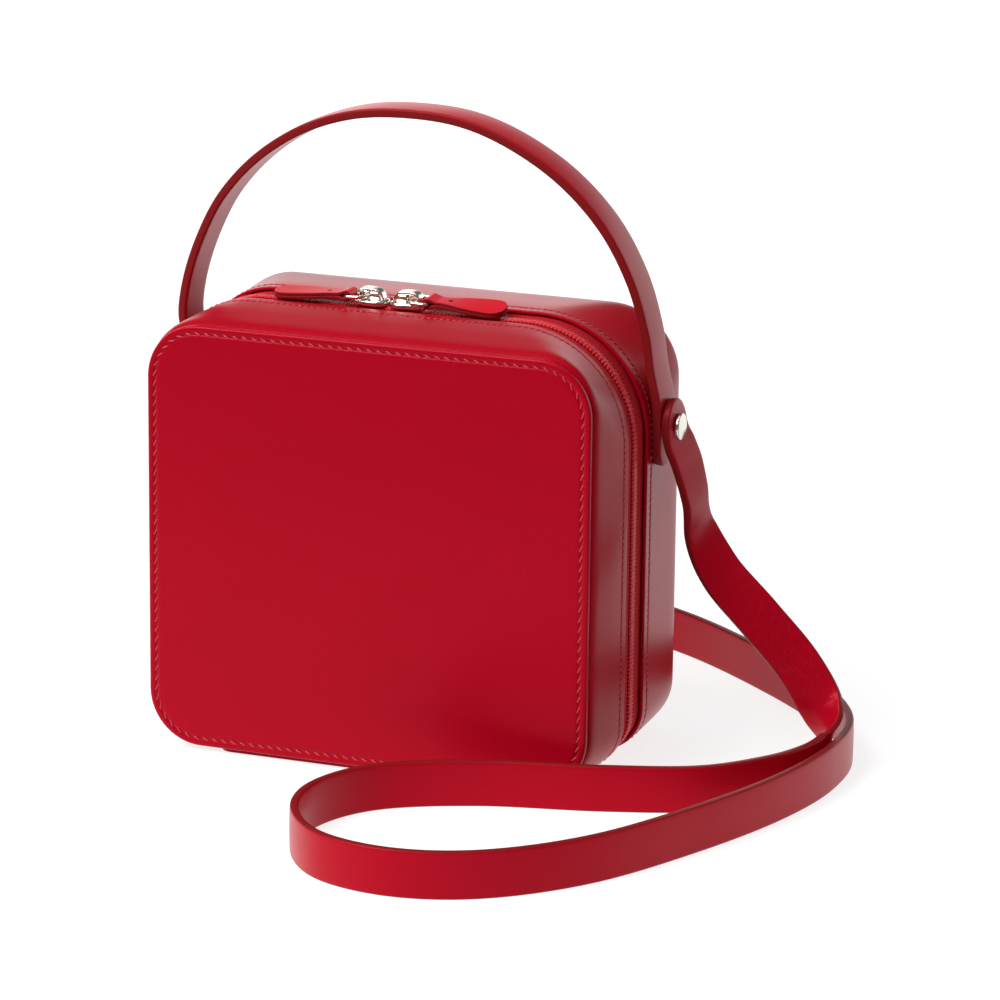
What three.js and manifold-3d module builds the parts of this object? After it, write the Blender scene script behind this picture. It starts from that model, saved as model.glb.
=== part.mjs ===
// A boxy leather shoulder bag: a flat-fronted lid that is zipped to a deeper body, a stiff arched
// top handle, and a flat shoulder strap that lies in a loop on the surface beside the bag.
// Millimetres, +Z up, the front towards -Y. The origin is under the middle of the base, on the surface.

import * as THREE from 'three';
import { mergeVertices } from 'three/addons/utils/BufferGeometryUtils.js';
import Module from 'manifold-3d';

// Driving sizes of the case
const caseDepth = 98;
const panelWidth = 177.6;
const panelHeight = 164.6;
const panelCorner = 21;
const sideSwell = 2.6; // how far each side stands out at the zip, beyond the panel's edge
const topSwell = 4.4; // how far the top rises at the zip, above the panel's edge
const zipCornerRight = 44; // outer corner radii at the zip
const zipCornerLeft = 31;
const zipCornerBelow = 18;
const leather = 2.2;
const zipEdge = 1.3; // the leather's skived edge along the zip
const panelLeather = 2.4;
const panelSoft = 0.7; // rounding of the panels' outer edges
const panelSoftShare = 0.3; // of that rounding, where its middle lies from face and edge
const flangeReach = 9; // seam allowance that is turned in behind each panel
const flangeBend = 1.2; // how much more the wall is drawn in where it turns into the flange
const zipMouth = 20.6; // between the lid's leather edge and the body's
const zipShift = -2.9; // the zip's middle, from the middle of the case
const clearance = 0.3; // left between pieces that touch

// Base strip that hinges the lid to the body
const baseLength = 124;
const baseInset = 3; // from each panel's face to the strip's edge
const baseLeather = 1.5;
const panelLift = 0.5; // from the base strip up to the panels' lower edges

// Zip
const tapeThick = 1.0;
const tapeUnder = 4; // how far the tape runs in under the leather
const coilWidth = 6.0;
const coilThick = 1.8;
const tapeSoft = 0.2;
const coilSoft = 0.8;
const zipEndTurn = 82; // degrees of each bottom corner that the zip runs round

// Sliders, bails and pull tabs
const noseGap = 0.8;
const noseShift = -9; // where the two sliders meet, from the middle
const sliderLength = 13.4;
const sliderWidth = 10;
const sliderPlate = 2.2; // height of the slider's body under its bridge
const sliderBridge = 2.2; // metal over the eye
const sliderEye = 0.7; // where the eye is, as a share of the slider's length from its nose
const metalSoft = 0.4; // rounding of the slider's edges
const bridgeSoft = 0.8; // rounding of its bridge
const bailWire = 1.5;
const bailLength = 8.4;
const bailBend = 0.9;
const tabDroop = { left: 2.9, right: 1.6 }; // degrees that bail and tab hang down towards the end
const tabRoll = 4; // degrees that the right bail leans forward
const tabTwist = { left: 5, right: 12 }; // degrees that each tab turns forward towards its end
const tabLength = 30.4;
const tabWidth = 11.6;
const tabNeck = 8.4;
const tabLeather = 1.2;
const tabSoft = 0.3; // rounding of the tab's edges
const tabEye = 1.2; // radius of the hole in the tab's neck
const tabEyeBack = 8;

// Handle
const handleWidth = 17.4;
const handleThick = 3.4;
const handleRise = 114; // from the studs to the middle of the handle's top
const handleTail = 15.5; // below the stud
const handleShift = -5.5; // how far the arch has slumped sideways
const handleLean = 0.07; // how far it leans forward, for each millimetre that it rises

// Screw studs
const studHeight = 129;
const studBack = 19.5; // behind the middle of the case
const studCap = 5.2;
const studCapThick = 1.8;
const studCapBevel = 0.5;
const studPost = 2.4;
const studHead = 4.2;
const studHeadThick = 1.3;

// Shoulder strap
const strapWidth = 17.6;
const strapThick = 3.2;
const strapTail = 10.8; // above the stud
const strapTurn = 6; // degrees that its back edge has turned out from the handle at the stud
const stripSoft = 0.5; // bevel of the strap's and the handle's edges

// How the case's skin runs from the front flange (deep -0.5) to the back one (deep 0.5): shares of
// the depth between the flanges, of the side swell, of the top swell, and of the way from the
// panel's corners to the zip's.
const skinRows = [
  { deep: -0.500, wide: -0.60, high: -0.36, round: 0.00 },
  { deep: -0.496, wide: -0.15, high: -0.09, round: 0.00 },
  { deep: -0.481, wide: 0.22, high: 0.16, round: 0.02 },
  { deep: -0.447, wide: 0.45, high: 0.36, round: 0.12 },
  { deep: -0.372, wide: 0.64, high: 0.58, round: 0.38 },
  { deep: -0.287, wide: 0.82, high: 0.80, round: 0.66 },
  { deep: -0.191, wide: 0.96, high: 0.96, round: 0.92 },
  { deep: -0.114, wide: 1.00, high: 1.00, round: 1.00 },
  { deep: 0.114, wide: 1.00, high: 1.00, round: 1.00 },
  { deep: 0.213, wide: 1.00, high: 0.98, round: 0.90 },
  { deep: 0.330, wide: 1.00, high: 0.88, round: 0.64 },
  { deep: 0.425, wide: 0.98, high: 0.76, round: 0.40 },
  { deep: 0.475, wide: 0.82, high: 0.54, round: 0.26 },
  { deep: 0.494, wide: 0.40, high: 0.14, round: 0.22 },
  { deep: 0.500, wide: -0.20, high: -0.20, round: 0.20 },
];
const beadRows = 3; // rows at each flange that only the outside of the wall follows

// The handle's middle line, from the right stud over the top to the left stud:
// across is a share of half the distance between the studs, up of the handle's rise,
// slump of its sideways shift.
const handleRows = [
  { across: 1.000, up: 0.000, slump: 0.00 },
  { across: 1.000, up: 0.090, slump: 0.02 },
  { across: 1.010, up: 0.200, slump: 0.62 },
  { across: 1.010, up: 0.330, slump: 1.00 },
  { across: 0.948, up: 0.500, slump: 1.00 },
  { across: 0.832, up: 0.670, slump: 1.00 },
  { across: 0.660, up: 0.815, slump: 1.00 },
  { across: 0.450, up: 0.922, slump: 1.00 },
  { across: 0.235, up: 0.984, slump: 1.00 },
  { across: 0.000, up: 1.000, slump: 1.00 },
  { across: -0.235, up: 0.982, slump: 1.00 },
  { across: -0.460, up: 0.918, slump: 1.00 },
  { across: -0.665, up: 0.808, slump: 1.00 },
  { across: -0.828, up: 0.665, slump: 1.00 },
  { across: -0.938, up: 0.500, slump: 1.00 },
  { across: -1.005, up: 0.340, slump: 1.00 },
  { across: -1.032, up: 0.210, slump: 0.80 },
  { across: -1.006, up: 0.134, slump: 0.08 },
  { across: -1.001, up: 0.080, slump: 0.00 },
  { across: -1.000, up: 0.000, slump: 0.00 },
];

// The shoulder strap's middle line, from under the right stud down to the surface, round its loops
// there, behind the case and up to the left stud: across is a share of half the distance between the
// studs, deep of the case depth, high of the stud's height above the strap's height when it lies
// on edge. Its width has turned from level (lean 0) to upright (lean 90), and out from the case by
// the degrees of turn, where a row has them.
const strapRows = [
  { across: 1.031, deep: 0.199, high: 0.947, lean: 0, turn: 15 },
  { across: 1.062, deep: 0.204, high: 0.884, lean: 4, turn: 13 },
  { across: 1.090, deep: 0.216, high: 0.790, lean: 17, turn: 6 },
  { across: 1.118, deep: 0.212, high: 0.676, lean: 36 },
  { across: 1.218, deep: 0.184, high: 0.545, lean: 52 },
  { across: 1.378, deep: 0.182, high: 0.414, lean: 67 },
  { across: 1.535, deep: 0.206, high: 0.268, lean: 76 },
  { across: 1.640, deep: 0.202, high: 0.132, lean: 82 },
  { across: 1.684, deep: 0.135, high: 0.028, lean: 88 },
  { across: 1.650, deep: -0.020, high: 0.000, lean: 90 },
  { across: 1.557, deep: -0.214, high: 0.000, lean: 90 },
  { across: 1.351, deep: -0.434, high: 0.000, lean: 90 },
  { across: 1.000, deep: -0.574, high: 0.000, lean: 90 },
  { across: 0.557, deep: -0.690, high: 0.000, lean: 90 },
  { across: 0.216, deep: -0.883, high: 0.000, lean: 90 },
  { across: 0.077, deep: -1.163, high: 0.000, lean: 90 },
  { across: 0.124, deep: -1.454, high: 0.000, lean: 90 },
  { across: 0.325, deep: -1.684, high: 0.000, lean: 90 },
  { across: 0.640, deep: -1.750, high: 0.000, lean: 90 },
  { across: 0.960, deep: -1.636, high: 0.000, lean: 90 },
  { across: 1.258, deep: -1.332, high: 0.000, lean: 90 },
  { across: 1.498, deep: -0.864, high: 0.000, lean: 90 },
  { across: 1.668, deep: -0.398, high: 0.000, lean: 90 },
  { across: 1.738, deep: 0.020, high: 0.000, lean: 90 },
  { across: 1.688, deep: 0.408, high: 0.000, lean: 90 },
  { across: 1.440, deep: 0.796, high: 0.000, lean: 90 },
  { across: 1.010, deep: 1.209, high: 0.000, lean: 90 },
  { across: 0.577, deep: 1.530, high: 0.000, lean: 90 },
  { across: 0.103, deep: 1.735, high: 0.000, lean: 90 },
  { across: -0.412, deep: 1.700, high: 0.000, lean: 90 },
  { across: -0.866, deep: 1.430, high: 0.000, lean: 90 },
  { across: -1.165, deep: 1.050, high: 0.004, lean: 88 },
  { across: -1.275, deep: 0.690, high: 0.120, lean: 76 },
  { across: -1.240, deep: 0.400, high: 0.400, lean: 50 },
  { across: -1.128, deep: 0.240, high: 0.700, lean: 22, turn: -4 },
  { across: -1.062, deep: 0.206, high: 0.880, lean: 5, turn: -12 },
  { across: -1.031, deep: 0.199, high: 0.946, lean: 0, turn: -15 },
];

// Half outlines of the small pieces, as shares of their length and of their half width
const sliderRows = [
  { along: -1.00, wide: 0.62 }, { along: -0.93, wide: 0.80 }, { along: -0.60, wide: 0.86 },
  { along: -0.30, wide: 1.00 }, { along: -0.10, wide: 0.78 }, { along: 0.00, wide: 0.36 },
];
const bridgeRows = [
  { along: -0.90, wide: 0.34 }, { along: -0.82, wide: 0.54 }, { along: -0.28, wide: 0.54 },
  { along: -0.18, wide: 0.34 },
];

// A pull tab from its far end to its fold: shares of its length and width, and of its whole twist
const tabRows = [
  { along: -1.000, wide: 0.20, turned: 1.00 },
  { along: -0.990, wide: 0.36, turned: 1.00 },
  { along: -0.965, wide: 0.60, turned: 1.00 },
  { along: -0.920, wide: 0.82, turned: 0.98 },
  { along: -0.860, wide: 0.96, turned: 0.94 },
  { along: -0.780, wide: 1.00, turned: 0.86 },
  { along: -0.600, wide: 0.98, turned: 0.66 },
  { along: -0.420, wide: 0.93, turned: 0.38 },
  { along: -0.300, wide: 0.78, turned: 0.16 },
  { along: -0.200, wide: 0.66, turned: 0.04 },
  { along: -0.100, wide: 0.65, turned: 0.00 },
  { along: 0.000, wide: 0.65, turned: 0.00 },
];

// Places that follow from the sizes above
const baseDepth = caseDepth - 2 * baseInset;
const baseTop = baseLeather;
const panelBottom = baseTop + panelLift;
const panelTop = panelBottom + panelHeight;
const skinBottom = baseTop + clearance;
const skinDepth = caseDepth - 2 * (panelLeather + clearance);
const gussetSide = panelWidth / 2 + sideSwell;
const handleX = gussetSide + clearance + handleThick / 2;
const strapX = handleX + handleThick / 2 + clearance + strapThick / 2;
const capX = strapX + strapThick / 2 + clearance;
const zipTop = panelTop + topSwell;
const tapeInset = zipEdge + clearance;
const eyeHeight = sliderPlate + clearance + bailWire / 2;
const eyeBack = sliderLength * sliderEye;
const boreRadius = studPost + clearance;
const tabAxis = new THREE.Vector3(1, 0, 0);

// Steps along curves
const quarter = 90; // degrees of a corner
const cornerSteps = 9;
const zipSteps = 11;
const bendSteps = 3;
const sideSteps = 2;
const strapSteps = 3;
const handleSteps = 2;
const boreSides = 14;
const eyeSides = 10;
const wireSides = 6;
const studSides = 20;
const endSteps = [0.04, 0.2, 0.5]; // extra rings in a strip's round end, as shares of its radius
const endBlunt = 0.2; // how wide a strip's last ring is, as a share of its width
const leastRadius = 1.5;

// Geometry helpers

/** A closed mesh from points and triangles given as arrays. */
function solid(points, faces) {
  const geometry = new THREE.BufferGeometry();
  const places = points.flatMap((p) => [p.x, p.y, p.z]);
  geometry.setAttribute('position', new THREE.Float32BufferAttribute(places, 3));
  geometry.setIndex(faces.flat());
  return outward(geometry);
}

/** Six times the signed volume: positive when the faces point out. */
function signedVolume(geometry) {
  const p = geometry.attributes.position;
  const index = geometry.index.array;
  const [a, b, c] = [new THREE.Vector3(), new THREE.Vector3(), new THREE.Vector3()];
  let sum = 0;
  for (let i = 0; i < index.length; i += 3) {
    a.fromBufferAttribute(p, index[i]);
    b.fromBufferAttribute(p, index[i + 1]);
    c.fromBufferAttribute(p, index[i + 2]);
    sum += a.dot(b.cross(c));
  }
  return sum;
}

/** Turns every face over if the mesh is inside out. */
function outward(geometry) {
  if (signedVolume(geometry) < 0) {
    const index = geometry.index.array;
    for (let i = 0; i < index.length; i += 3) {
      [index[i], index[i + 1]] = [index[i + 1], index[i]];
    }
  }
  return geometry;
}

/** Joins equal rings of points into a tube; its ends are capped, or meet when it is closed. */
function joinRings(rings, closed) {
  const count = rings[0].length;
  const faces = [];
  const last = closed ? rings.length : rings.length - 1;
  for (let r = 0; r < last; r += 1) {
    for (let k = 0; k < count; k += 1) {
      const a = r * count + k;
      const b = r * count + ((k + 1) % count);
      const c = ((r + 1) % rings.length) * count + ((k + 1) % count);
      const d = ((r + 1) % rings.length) * count + k;
      faces.push([a, b, c], [a, c, d]);
    }
  }
  if (!closed) {
    const end = (rings.length - 1) * count;
    for (let k = 1; k < count - 1; k += 1) {
      faces.push([0, k + 1, k], [end, end + k, end + k + 1]);
    }
  }
  return solid(rings.flat(), faces);
}

/** Rectangle w by t with cut corners, as points across and out. */
function stripSection(w, t, cut) {
  return [
    [-w / 2 + cut, -t / 2], [w / 2 - cut, -t / 2], [w / 2, -t / 2 + cut], [w / 2, t / 2 - cut],
    [w / 2 - cut, t / 2], [-w / 2 + cut, t / 2], [-w / 2, t / 2 - cut], [-w / 2, -t / 2 + cut],
  ];
}

// Booleans

const wasm = await Module();
wasm.setup();

function toManifold(geometry) {
  const bare = new THREE.BufferGeometry();
  bare.setAttribute('position', geometry.attributes.position);
  if (geometry.index) bare.setIndex(geometry.index);
  const merged = mergeVertices(bare, 1e-5);
  return new wasm.Manifold(new wasm.Mesh({
    numProp: 3,
    vertProperties: new Float32Array(merged.attributes.position.array),
    triVerts: new Uint32Array(merged.index.array),
  }));
}

function fromManifold(body) {
  const mesh = body.getMesh();
  const geometry = new THREE.BufferGeometry();
  const places = new Float32Array(mesh.vertProperties);
  geometry.setAttribute('position', new THREE.BufferAttribute(places, 3));
  geometry.setIndex(new THREE.BufferAttribute(new Uint32Array(mesh.triVerts), 1));
  return geometry;
}

function cutAway(geometry, cutters) {
  const whole = toManifold(geometry);
  return fromManifold(cutters.reduce((body, tool) => body.subtract(toManifold(tool)), whole));
}

function joinTogether(geometries) {
  return fromManifold(geometries.map(toManifold).reduce((body, more) => body.add(more)));
}

/** A cylinder along X through a stud's place, on the right side (1) or the left (-1). */
function studBore(side) {
  const length = 2 * (capX - gussetSide + studHeadThick + leather);
  const bore = new THREE.CylinderGeometry(boreRadius, boreRadius, length, boreSides);
  bore.rotateZ(Math.PI / 2);
  bore.translate(side * handleX, studBack, studHeight);
  return bore;
}

/** Where a stud's cap is pressed into the strap, as a cutter. */
function capSeat(side) {
  const depth = 2 * strapThick;
  const seat = new THREE.CylinderGeometry(studCap + clearance, studCap + clearance, depth, studSides);
  seat.rotateZ(Math.PI / 2);
  seat.translate(side * (capX - clearance + depth / 2), studBack, studHeight);
  return seat;
}

// The case

/** The case's outline at a row of the skin's table: its extent and corner radii. */
function skinShape(row) {
  const radius = (corner) => THREE.MathUtils.lerp(panelCorner, corner, row.round);
  return {
    half: panelWidth / 2 + row.wide * sideSwell,
    top: panelTop + row.high * topSwell,
    bottom: skinBottom + Math.max(0, -row.wide) * sideSwell,
    right: radius(zipCornerRight),
    left: radius(zipCornerLeft),
    below: radius(zipCornerBelow),
  };
}

/** The four corner arcs of an outline drawn in by inset, from the lower right one, counter-clockwise. */
function corners({ half, top, bottom, right, left, below }, inset) {
  const corner = (side, radius, upper, from) => {
    const r = Math.max(radius - inset, leastRadius);
    return { x: side * (half - inset - r), z: upper ? top - inset - r : bottom + inset + r, r, from };
  };
  return [corner(1, below, false, -quarter), corner(1, right, true, 0),
    corner(-1, left, true, quarter), corner(-1, below, false, 2 * quarter)];
}

/** Points along an arc in the plane of X and Z, with their outward directions. */
function arcPoints({ x, z, r }, y, from, to, steps) {
  return Array.from({ length: steps + 1 }, (_, k) => {
    const a = THREE.MathUtils.degToRad(THREE.MathUtils.lerp(from, to, k / steps));
    const out = new THREE.Vector3(Math.cos(a), 0, Math.sin(a));
    return { at: new THREE.Vector3(x, y, z).addScaledVector(out, r), out };
  });
}

/** A whole outline at one depth as a ring of points, with a few more along its upright sides. */
function caseRing(y, shape, inset) {
  const arcs = corners(shape, inset).map((arc) => (
    arcPoints(arc, y, arc.from, arc.from + quarter, cornerSteps).map((point) => point.at)));
  const side = (below, above) => Array.from({ length: sideSteps }, (_, k) => (
    below.clone().lerp(above, (k + 1) / (sideSteps + 1))));
  return [...arcs[0], ...side(arcs[0].at(-1), arcs[1][0]), ...arcs[1], ...arcs[2],
    ...side(arcs[2].at(-1), arcs[3][0]), ...arcs[3]];
}

/** The skin's ring at a row of its table. */
function skinRing(row, inset) {
  return caseRing(row.deep * skinDepth, skinShape(row), inset);
}

/** A row of the skin's table at any depth between two of its rows. */
function skinAt(deep) {
  const after = Math.max(1, skinRows.findIndex((row) => row.deep >= deep));
  const [a, b] = [skinRows[after - 1], skinRows[after]];
  const t = (deep - a.deep) / (b.deep - a.deep);
  const mix = (name) => THREE.MathUtils.lerp(a[name], b[name], t);
  return { deep, wide: mix('wide'), high: mix('high'), round: mix('round') };
}

/** One leather gusset: its moulded skin, its skived edge over the zip's tape, and its flange. */
function gusset(front) {
  const sign = front ? -1 : 1;
  const edge = (zipShift + (sign * zipMouth) / 2) / skinDepth;
  const skive = edge + (sign * (tapeUnder + clearance)) / skinDepth;
  const flangeToZip = front ? skinRows : skinRows.slice().reverse();
  const before = (deep) => flangeToZip.filter((row) => sign * (row.deep - deep) * skinDepth > clearance);
  const flange = flangeToZip[0];
  const flangeInner = { ...flange, deep: flange.deep - (sign * leather) / skinDepth };
  return joinRings([
    skinRing(flange, flangeReach),
    ...before(edge).map((row) => skinRing(row, 0)),
    skinRing(skinAt(edge), 0),
    skinRing(skinAt(edge), zipEdge),
    skinRing(skinAt(skive), zipEdge),
    ...before(skive).slice(beadRows).reverse().map((row) => skinRing(row, leather)),
    skinRing(flangeInner, leather + flangeBend),
    skinRing(flangeInner, flangeReach),
  ], true);
}

/** A flat panel with softened outer edges. Its corners are those of the skin's edge behind it. */
function panel(front) {
  const sign = front ? -1 : 1;
  const face = (sign * caseDepth) / 2;
  const edge = skinShape(front ? skinRows[0] : skinRows.at(-1));
  const shape = { ...edge, half: panelWidth / 2, top: panelTop, bottom: panelBottom };
  const ring = (depth, inset) => caseRing(face - sign * depth, shape, inset);
  const middle = panelSoft * panelSoftShare;
  return joinRings([ring(panelLeather, 0), ring(panelSoft, 0), ring(middle, middle),
    ring(0, panelSoft)], false);
}

// The zip

/** Stations round the case at the zip, from one bottom corner over the top to the other. */
function zipStations(inset) {
  const half = 2 * quarter;
  const turns = [[-zipEndTurn, 0], [0, quarter], [quarter, half], [half, half + zipEndTurn]];
  return corners(skinShape({ wide: 1, high: 1, round: 1 }), inset)
    .flatMap((arc, k) => arcPoints(arc, zipShift, ...turns[k], zipSteps));
}

/** A band round the case: from y0 to y1 and from low to high, measured outwards from its stations. */
function zipBand(inset, y0, y1, low, high, cut) {
  const rings = zipStations(inset).map(({ at, out }) => {
    const section = stripSection(y1 - y0, high - low, cut);
    return section.map(([u, v]) => new THREE.Vector3(0, (y0 + y1) / 2 + u, 0)
      .addScaledVector(out, (low + high) / 2 + v).add(at));
  });
  return joinRings(rings, false);
}

// Sliders, bails and pull tabs. Each is made in its own axes: the nose towards +X, Z out of the zip.

/** A closed prism: an outline in X and Y between two heights, with its top edge drawn in. */
function prism(outline, z0, z1, soften) {
  const centre = outline.reduce((sum, p) => sum.add(p), new THREE.Vector2()).divideScalar(outline.length);
  const ring = (z, pull) => outline.map((p) => {
    const q = p.clone().sub(centre);
    q.multiplyScalar(1 - pull / q.length()).add(centre);
    return new THREE.Vector3(q.x, q.y, z);
  });
  return joinRings([ring(z0, soften), ring(z0 + soften, 0), ring(z1 - soften, 0), ring(z1, soften)], false);
}

/** A closed outline from half outline rows, as wide on both sides of its middle line. */
function spindle(rows, length, width) {
  const right = rows.map(({ along, wide }) => new THREE.Vector2(along * length, (-wide * width) / 2));
  return [...right, ...right.slice().reverse().map((p) => new THREE.Vector2(p.x, -p.y))];
}

/** The slider: a plate with a wedge nose, and a bridge over its eye. */
function sliderShape() {
  const bridgeTop = eyeHeight + bailWire / 2 + clearance + sliderBridge;
  const plate = prism(spindle(sliderRows, sliderLength, sliderWidth), 0, sliderPlate, metalSoft);
  const bridgeFoot = sliderPlate / 2;
  const bridge = prism(spindle(bridgeRows, sliderLength, sliderWidth), bridgeFoot, bridgeTop, bridgeSoft);
  const eyeRadius = bailWire / 2 + clearance;
  const eye = new THREE.CylinderGeometry(eyeRadius, eyeRadius, sliderWidth, eyeSides);
  eye.translate(-eyeBack, 0, eyeHeight);
  return cutAway(joinTogether([plate, bridge]), [eye]);
}

/** The bail: a flat loop of wire whose near side lies in the slider's eye. */
function bailShape() {
  const half = tabNeck / 2 + clearance + bailWire / 2;
  const reach = bailLength - bailWire;
  const r = bailBend;
  const turns = [[0, -half], [-reach, -half], [-reach, half], [0, half]]
    .map(([x, y]) => new THREE.Vector2(x, y));
  const around = (list, k) => list[(k + list.length) % list.length];
  const points = turns.flatMap((here, k) => {
    const before = around(turns, k - 1).clone().sub(here).normalize();
    const after = around(turns, k + 1).clone().sub(here).normalize();
    const centre = here.clone().addScaledVector(before, r).addScaledVector(after, r);
    return Array.from({ length: bendSteps + 1 }, (_, j) => {
      const a = (Math.PI / 2) * (j / bendSteps);
      return centre.clone().addScaledVector(after, -r * Math.cos(a))
        .addScaledVector(before, -r * Math.sin(a));
    });
  });
  const rings = points.map((p, k) => {
    const ahead = around(points, k + 1).clone().sub(around(points, k - 1));
    const out = new THREE.Vector3(ahead.y, -ahead.x, 0).normalize();
    return Array.from({ length: wireSides }, (_, j) => {
      const a = (2 * Math.PI * j) / wireSides;
      return new THREE.Vector3(p.x, p.y, 0).addScaledVector(out, (bailWire / 2) * Math.cos(a))
        .add(new THREE.Vector3(0, 0, (bailWire / 2) * Math.sin(a)));
    });
  });
  return joinRings(rings, true);
}

/**
 * The pull tab: a strip of leather folded round the bail's far side, its two layers glued and sewn.
 * It turns towards its far end by the degrees of twist.
 */
function tabShape(twist) {
  const loop = bailWire / 2 + clearance;
  const outer = loop + tabLeather;
  const layers = joinRings(tabRows.map(({ along, wide, turned }) => {
    const angle = THREE.MathUtils.degToRad(twist * turned);
    return stripSection(wide * tabWidth, 2 * tabLeather, tabSoft).map(([across, up]) => (
      new THREE.Vector3(along * tabLength, across, up).applyAxisAngle(tabAxis, angle)));
  }), false);
  const fold = new THREE.CylinderGeometry(outer, outer, tabNeck, boreSides);
  const bore = new THREE.CylinderGeometry(loop, loop, tabWidth, eyeSides);
  const eye = new THREE.CylinderGeometry(tabEye, tabEye, 4 * tabLeather, eyeSides);
  eye.rotateX(Math.PI / 2);
  eye.translate(-tabEyeBack, 0, 0);
  return cutAway(joinTogether([layers, fold]), [bore, eye]);
}

// Handle, strap and studs

/** The axes of a strip at each point of its curve: along, across and out of its outer face. */
function stripFrames(points, acrossAt) {
  return points.map((at, k) => {
    const ahead = points[Math.min(k + 1, points.length - 1)];
    const along = ahead.clone().sub(points[Math.max(k - 1, 0)]).normalize();
    const across = acrossAt(k).addScaledVector(along, -acrossAt(k).dot(along)).normalize();
    return { at, across, out: along.clone().cross(across) };
  });
}

/** A flat strip of leather along its frames, with round ends. */
function strip(frames, width, thick) {
  const radius = width / 2;
  const lengths = [0];
  for (let k = 1; k < frames.length; k += 1) {
    lengths.push(lengths[k - 1] + frames[k].at.distanceTo(frames[k - 1].at));
  }
  const total = lengths[lengths.length - 1];
  const rings = frames.map(({ at, across, out }, k) => {
    const fromEnd = Math.min(lengths[k], total - lengths[k], radius);
    const share = Math.max(Math.sqrt(Math.max(1 - (1 - fromEnd / radius) ** 2, 0)), endBlunt);
    return stripSection(width * share, thick, stripSoft)
      .map(([u, v]) => at.clone().addScaledVector(across, u).addScaledVector(out, v));
  });
  return joinRings(rings, false);
}

/** A cubic through b and c at a share u of the way, with the slopes that a and d give it. */
function between(a, b, c, d, u) {
  const [m0, m1] = [(c - a) / 2, (d - b) / 2];
  return b * (2 * u ** 3 - 3 * u ** 2 + 1) + m0 * (u ** 3 - 2 * u ** 2 + u)
    + c * (-2 * u ** 3 + 3 * u ** 2) + m1 * (u ** 3 - u ** 2);
}

/** Samples of the smooth curve through rows of point, lean and turn, closer in its round ends. */
function smooth(rows, steps, radius) {
  const spans = rows.length - 1;
  const even = Array.from({ length: spans * steps + 1 }, (_, k) => k / (spans * steps));
  const endStep = radius / rows[0].point.distanceTo(rows[1].point) / spans;
  const near = endSteps.map((share) => share * endStep);
  const sorted = [...even, ...near, ...near.map((t) => 1 - t)].sort((a, b) => a - b);
  const kept = sorted.filter((t, k) => k === 0 || t - sorted[k - 1] > near[0] / 2);
  const curve = new THREE.CatmullRomCurve3(rows.map((row) => row.point), false, 'catmullrom', 0.5);
  return kept.map((t) => {
    const k = Math.min(Math.floor(t * spans), spans - 1);
    const around = [k - 1, k, k + 1, k + 2].map((n) => rows[THREE.MathUtils.clamp(n, 0, spans)]);
    const mix = (name) => between(...around.map((row) => row[name]), t * spans - k);
    const [lean, turn] = [mix('lean'), mix('turn')];
    return { point: curve.getPoint(t), lean, turn };
  });
}

/** The arched handle, with a round tail below each stud. */
function handleShape() {
  const point = (across, up, slump) => new THREE.Vector3(across * handleX + slump * handleShift,
    studBack - Math.max(up, 0) * handleLean, studHeight + up);
  const rows = handleRows.map((row) => ({ point: point(row.across, row.up * handleRise, row.slump) }));
  const [right, left] = [1, -1].map((side) => ({ point: point(side, -handleTail, 0) }));
  const points = smooth([right, ...rows, left], handleSteps, handleWidth / 2).map((sample) => sample.point);
  const frames = stripFrames(points, () => new THREE.Vector3(0, -1, 0));
  return cutAway(strip(frames, handleWidth, handleThick), [studBore(1), studBore(-1)]);
}

/** The shoulder strap: held at each stud, and standing on its edge where the surface carries it. */
function strapShape() {
  const lying = strapWidth / 2;
  const rows = strapRows.map(({ across, deep, high, lean, turn = 0 }) => ({
    point: new THREE.Vector3(across * strapX, deep * caseDepth, lying + high * (studHeight - lying)),
    lean,
    turn,
  }));
  const held = (side, above, turn) => ({
    point: new THREE.Vector3(side * (strapX + lying * Math.sin(THREE.MathUtils.degToRad(turn))), studBack,
      studHeight + above),
    lean: 0,
    turn: side * turn,
  });
  const samples = smooth([held(1, strapTail, 0), held(1, 0, strapTurn), ...rows,
    held(-1, 0, strapTurn), held(-1, strapTail, 0)], strapSteps, lying);
  samples.forEach(({ point }) => point.setZ(Math.max(point.z, lying)));
  const frames = stripFrames(samples.map(({ point }) => point), (k) => {
    const [lean, turn] = [samples[k].lean, samples[k].turn].map(THREE.MathUtils.degToRad);
    return new THREE.Vector3(Math.cos(lean) * Math.sin(turn), Math.cos(lean) * Math.cos(turn),
      Math.sin(lean));
  });
  const cuts = [1, -1].flatMap((side) => [studBore(side), capSeat(side)]);
  return cutAway(strip(frames, strapWidth, strapThick), cuts);
}

/** How far out the gusset's inner face is at the stud's head, on the right (1) or the left (-1). */
function wallAtStud(side) {
  const { half, top, right, left } = skinShape(skinAt(studBack / skinDepth));
  const radius = side > 0 ? right : left;
  const above = Math.max(0, studHeight + studHead - (top - radius));
  return half - radius + Math.sqrt((radius - leather) ** 2 - above ** 2);
}

/** A stud: a flat cap on the strap, a post through strap, handle and gusset, and a plain inner head. */
function studShape(side) {
  const inner = wallAtStud(side) - clearance;
  const profile = [
    [0, inner - studHeadThick], [studHead, inner - studHeadThick], [studHead, inner], [studPost, inner],
    [studPost, capX], [studCap, capX], [studCap, capX + studCapThick - studCapBevel],
    [studCap - studCapBevel, capX + studCapThick], [0, capX + studCapThick],
  ].map(([r, x]) => new THREE.Vector2(r, x));
  const lathe = new THREE.LatheGeometry(profile, studSides);
  lathe.rotateZ(-Math.PI / 2);
  if (side < 0) lathe.rotateZ(Math.PI);
  lathe.translate(0, studBack, studHeight);
  return outward(mergeVertices(bareCopy(lathe), 1e-5));
}

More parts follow.
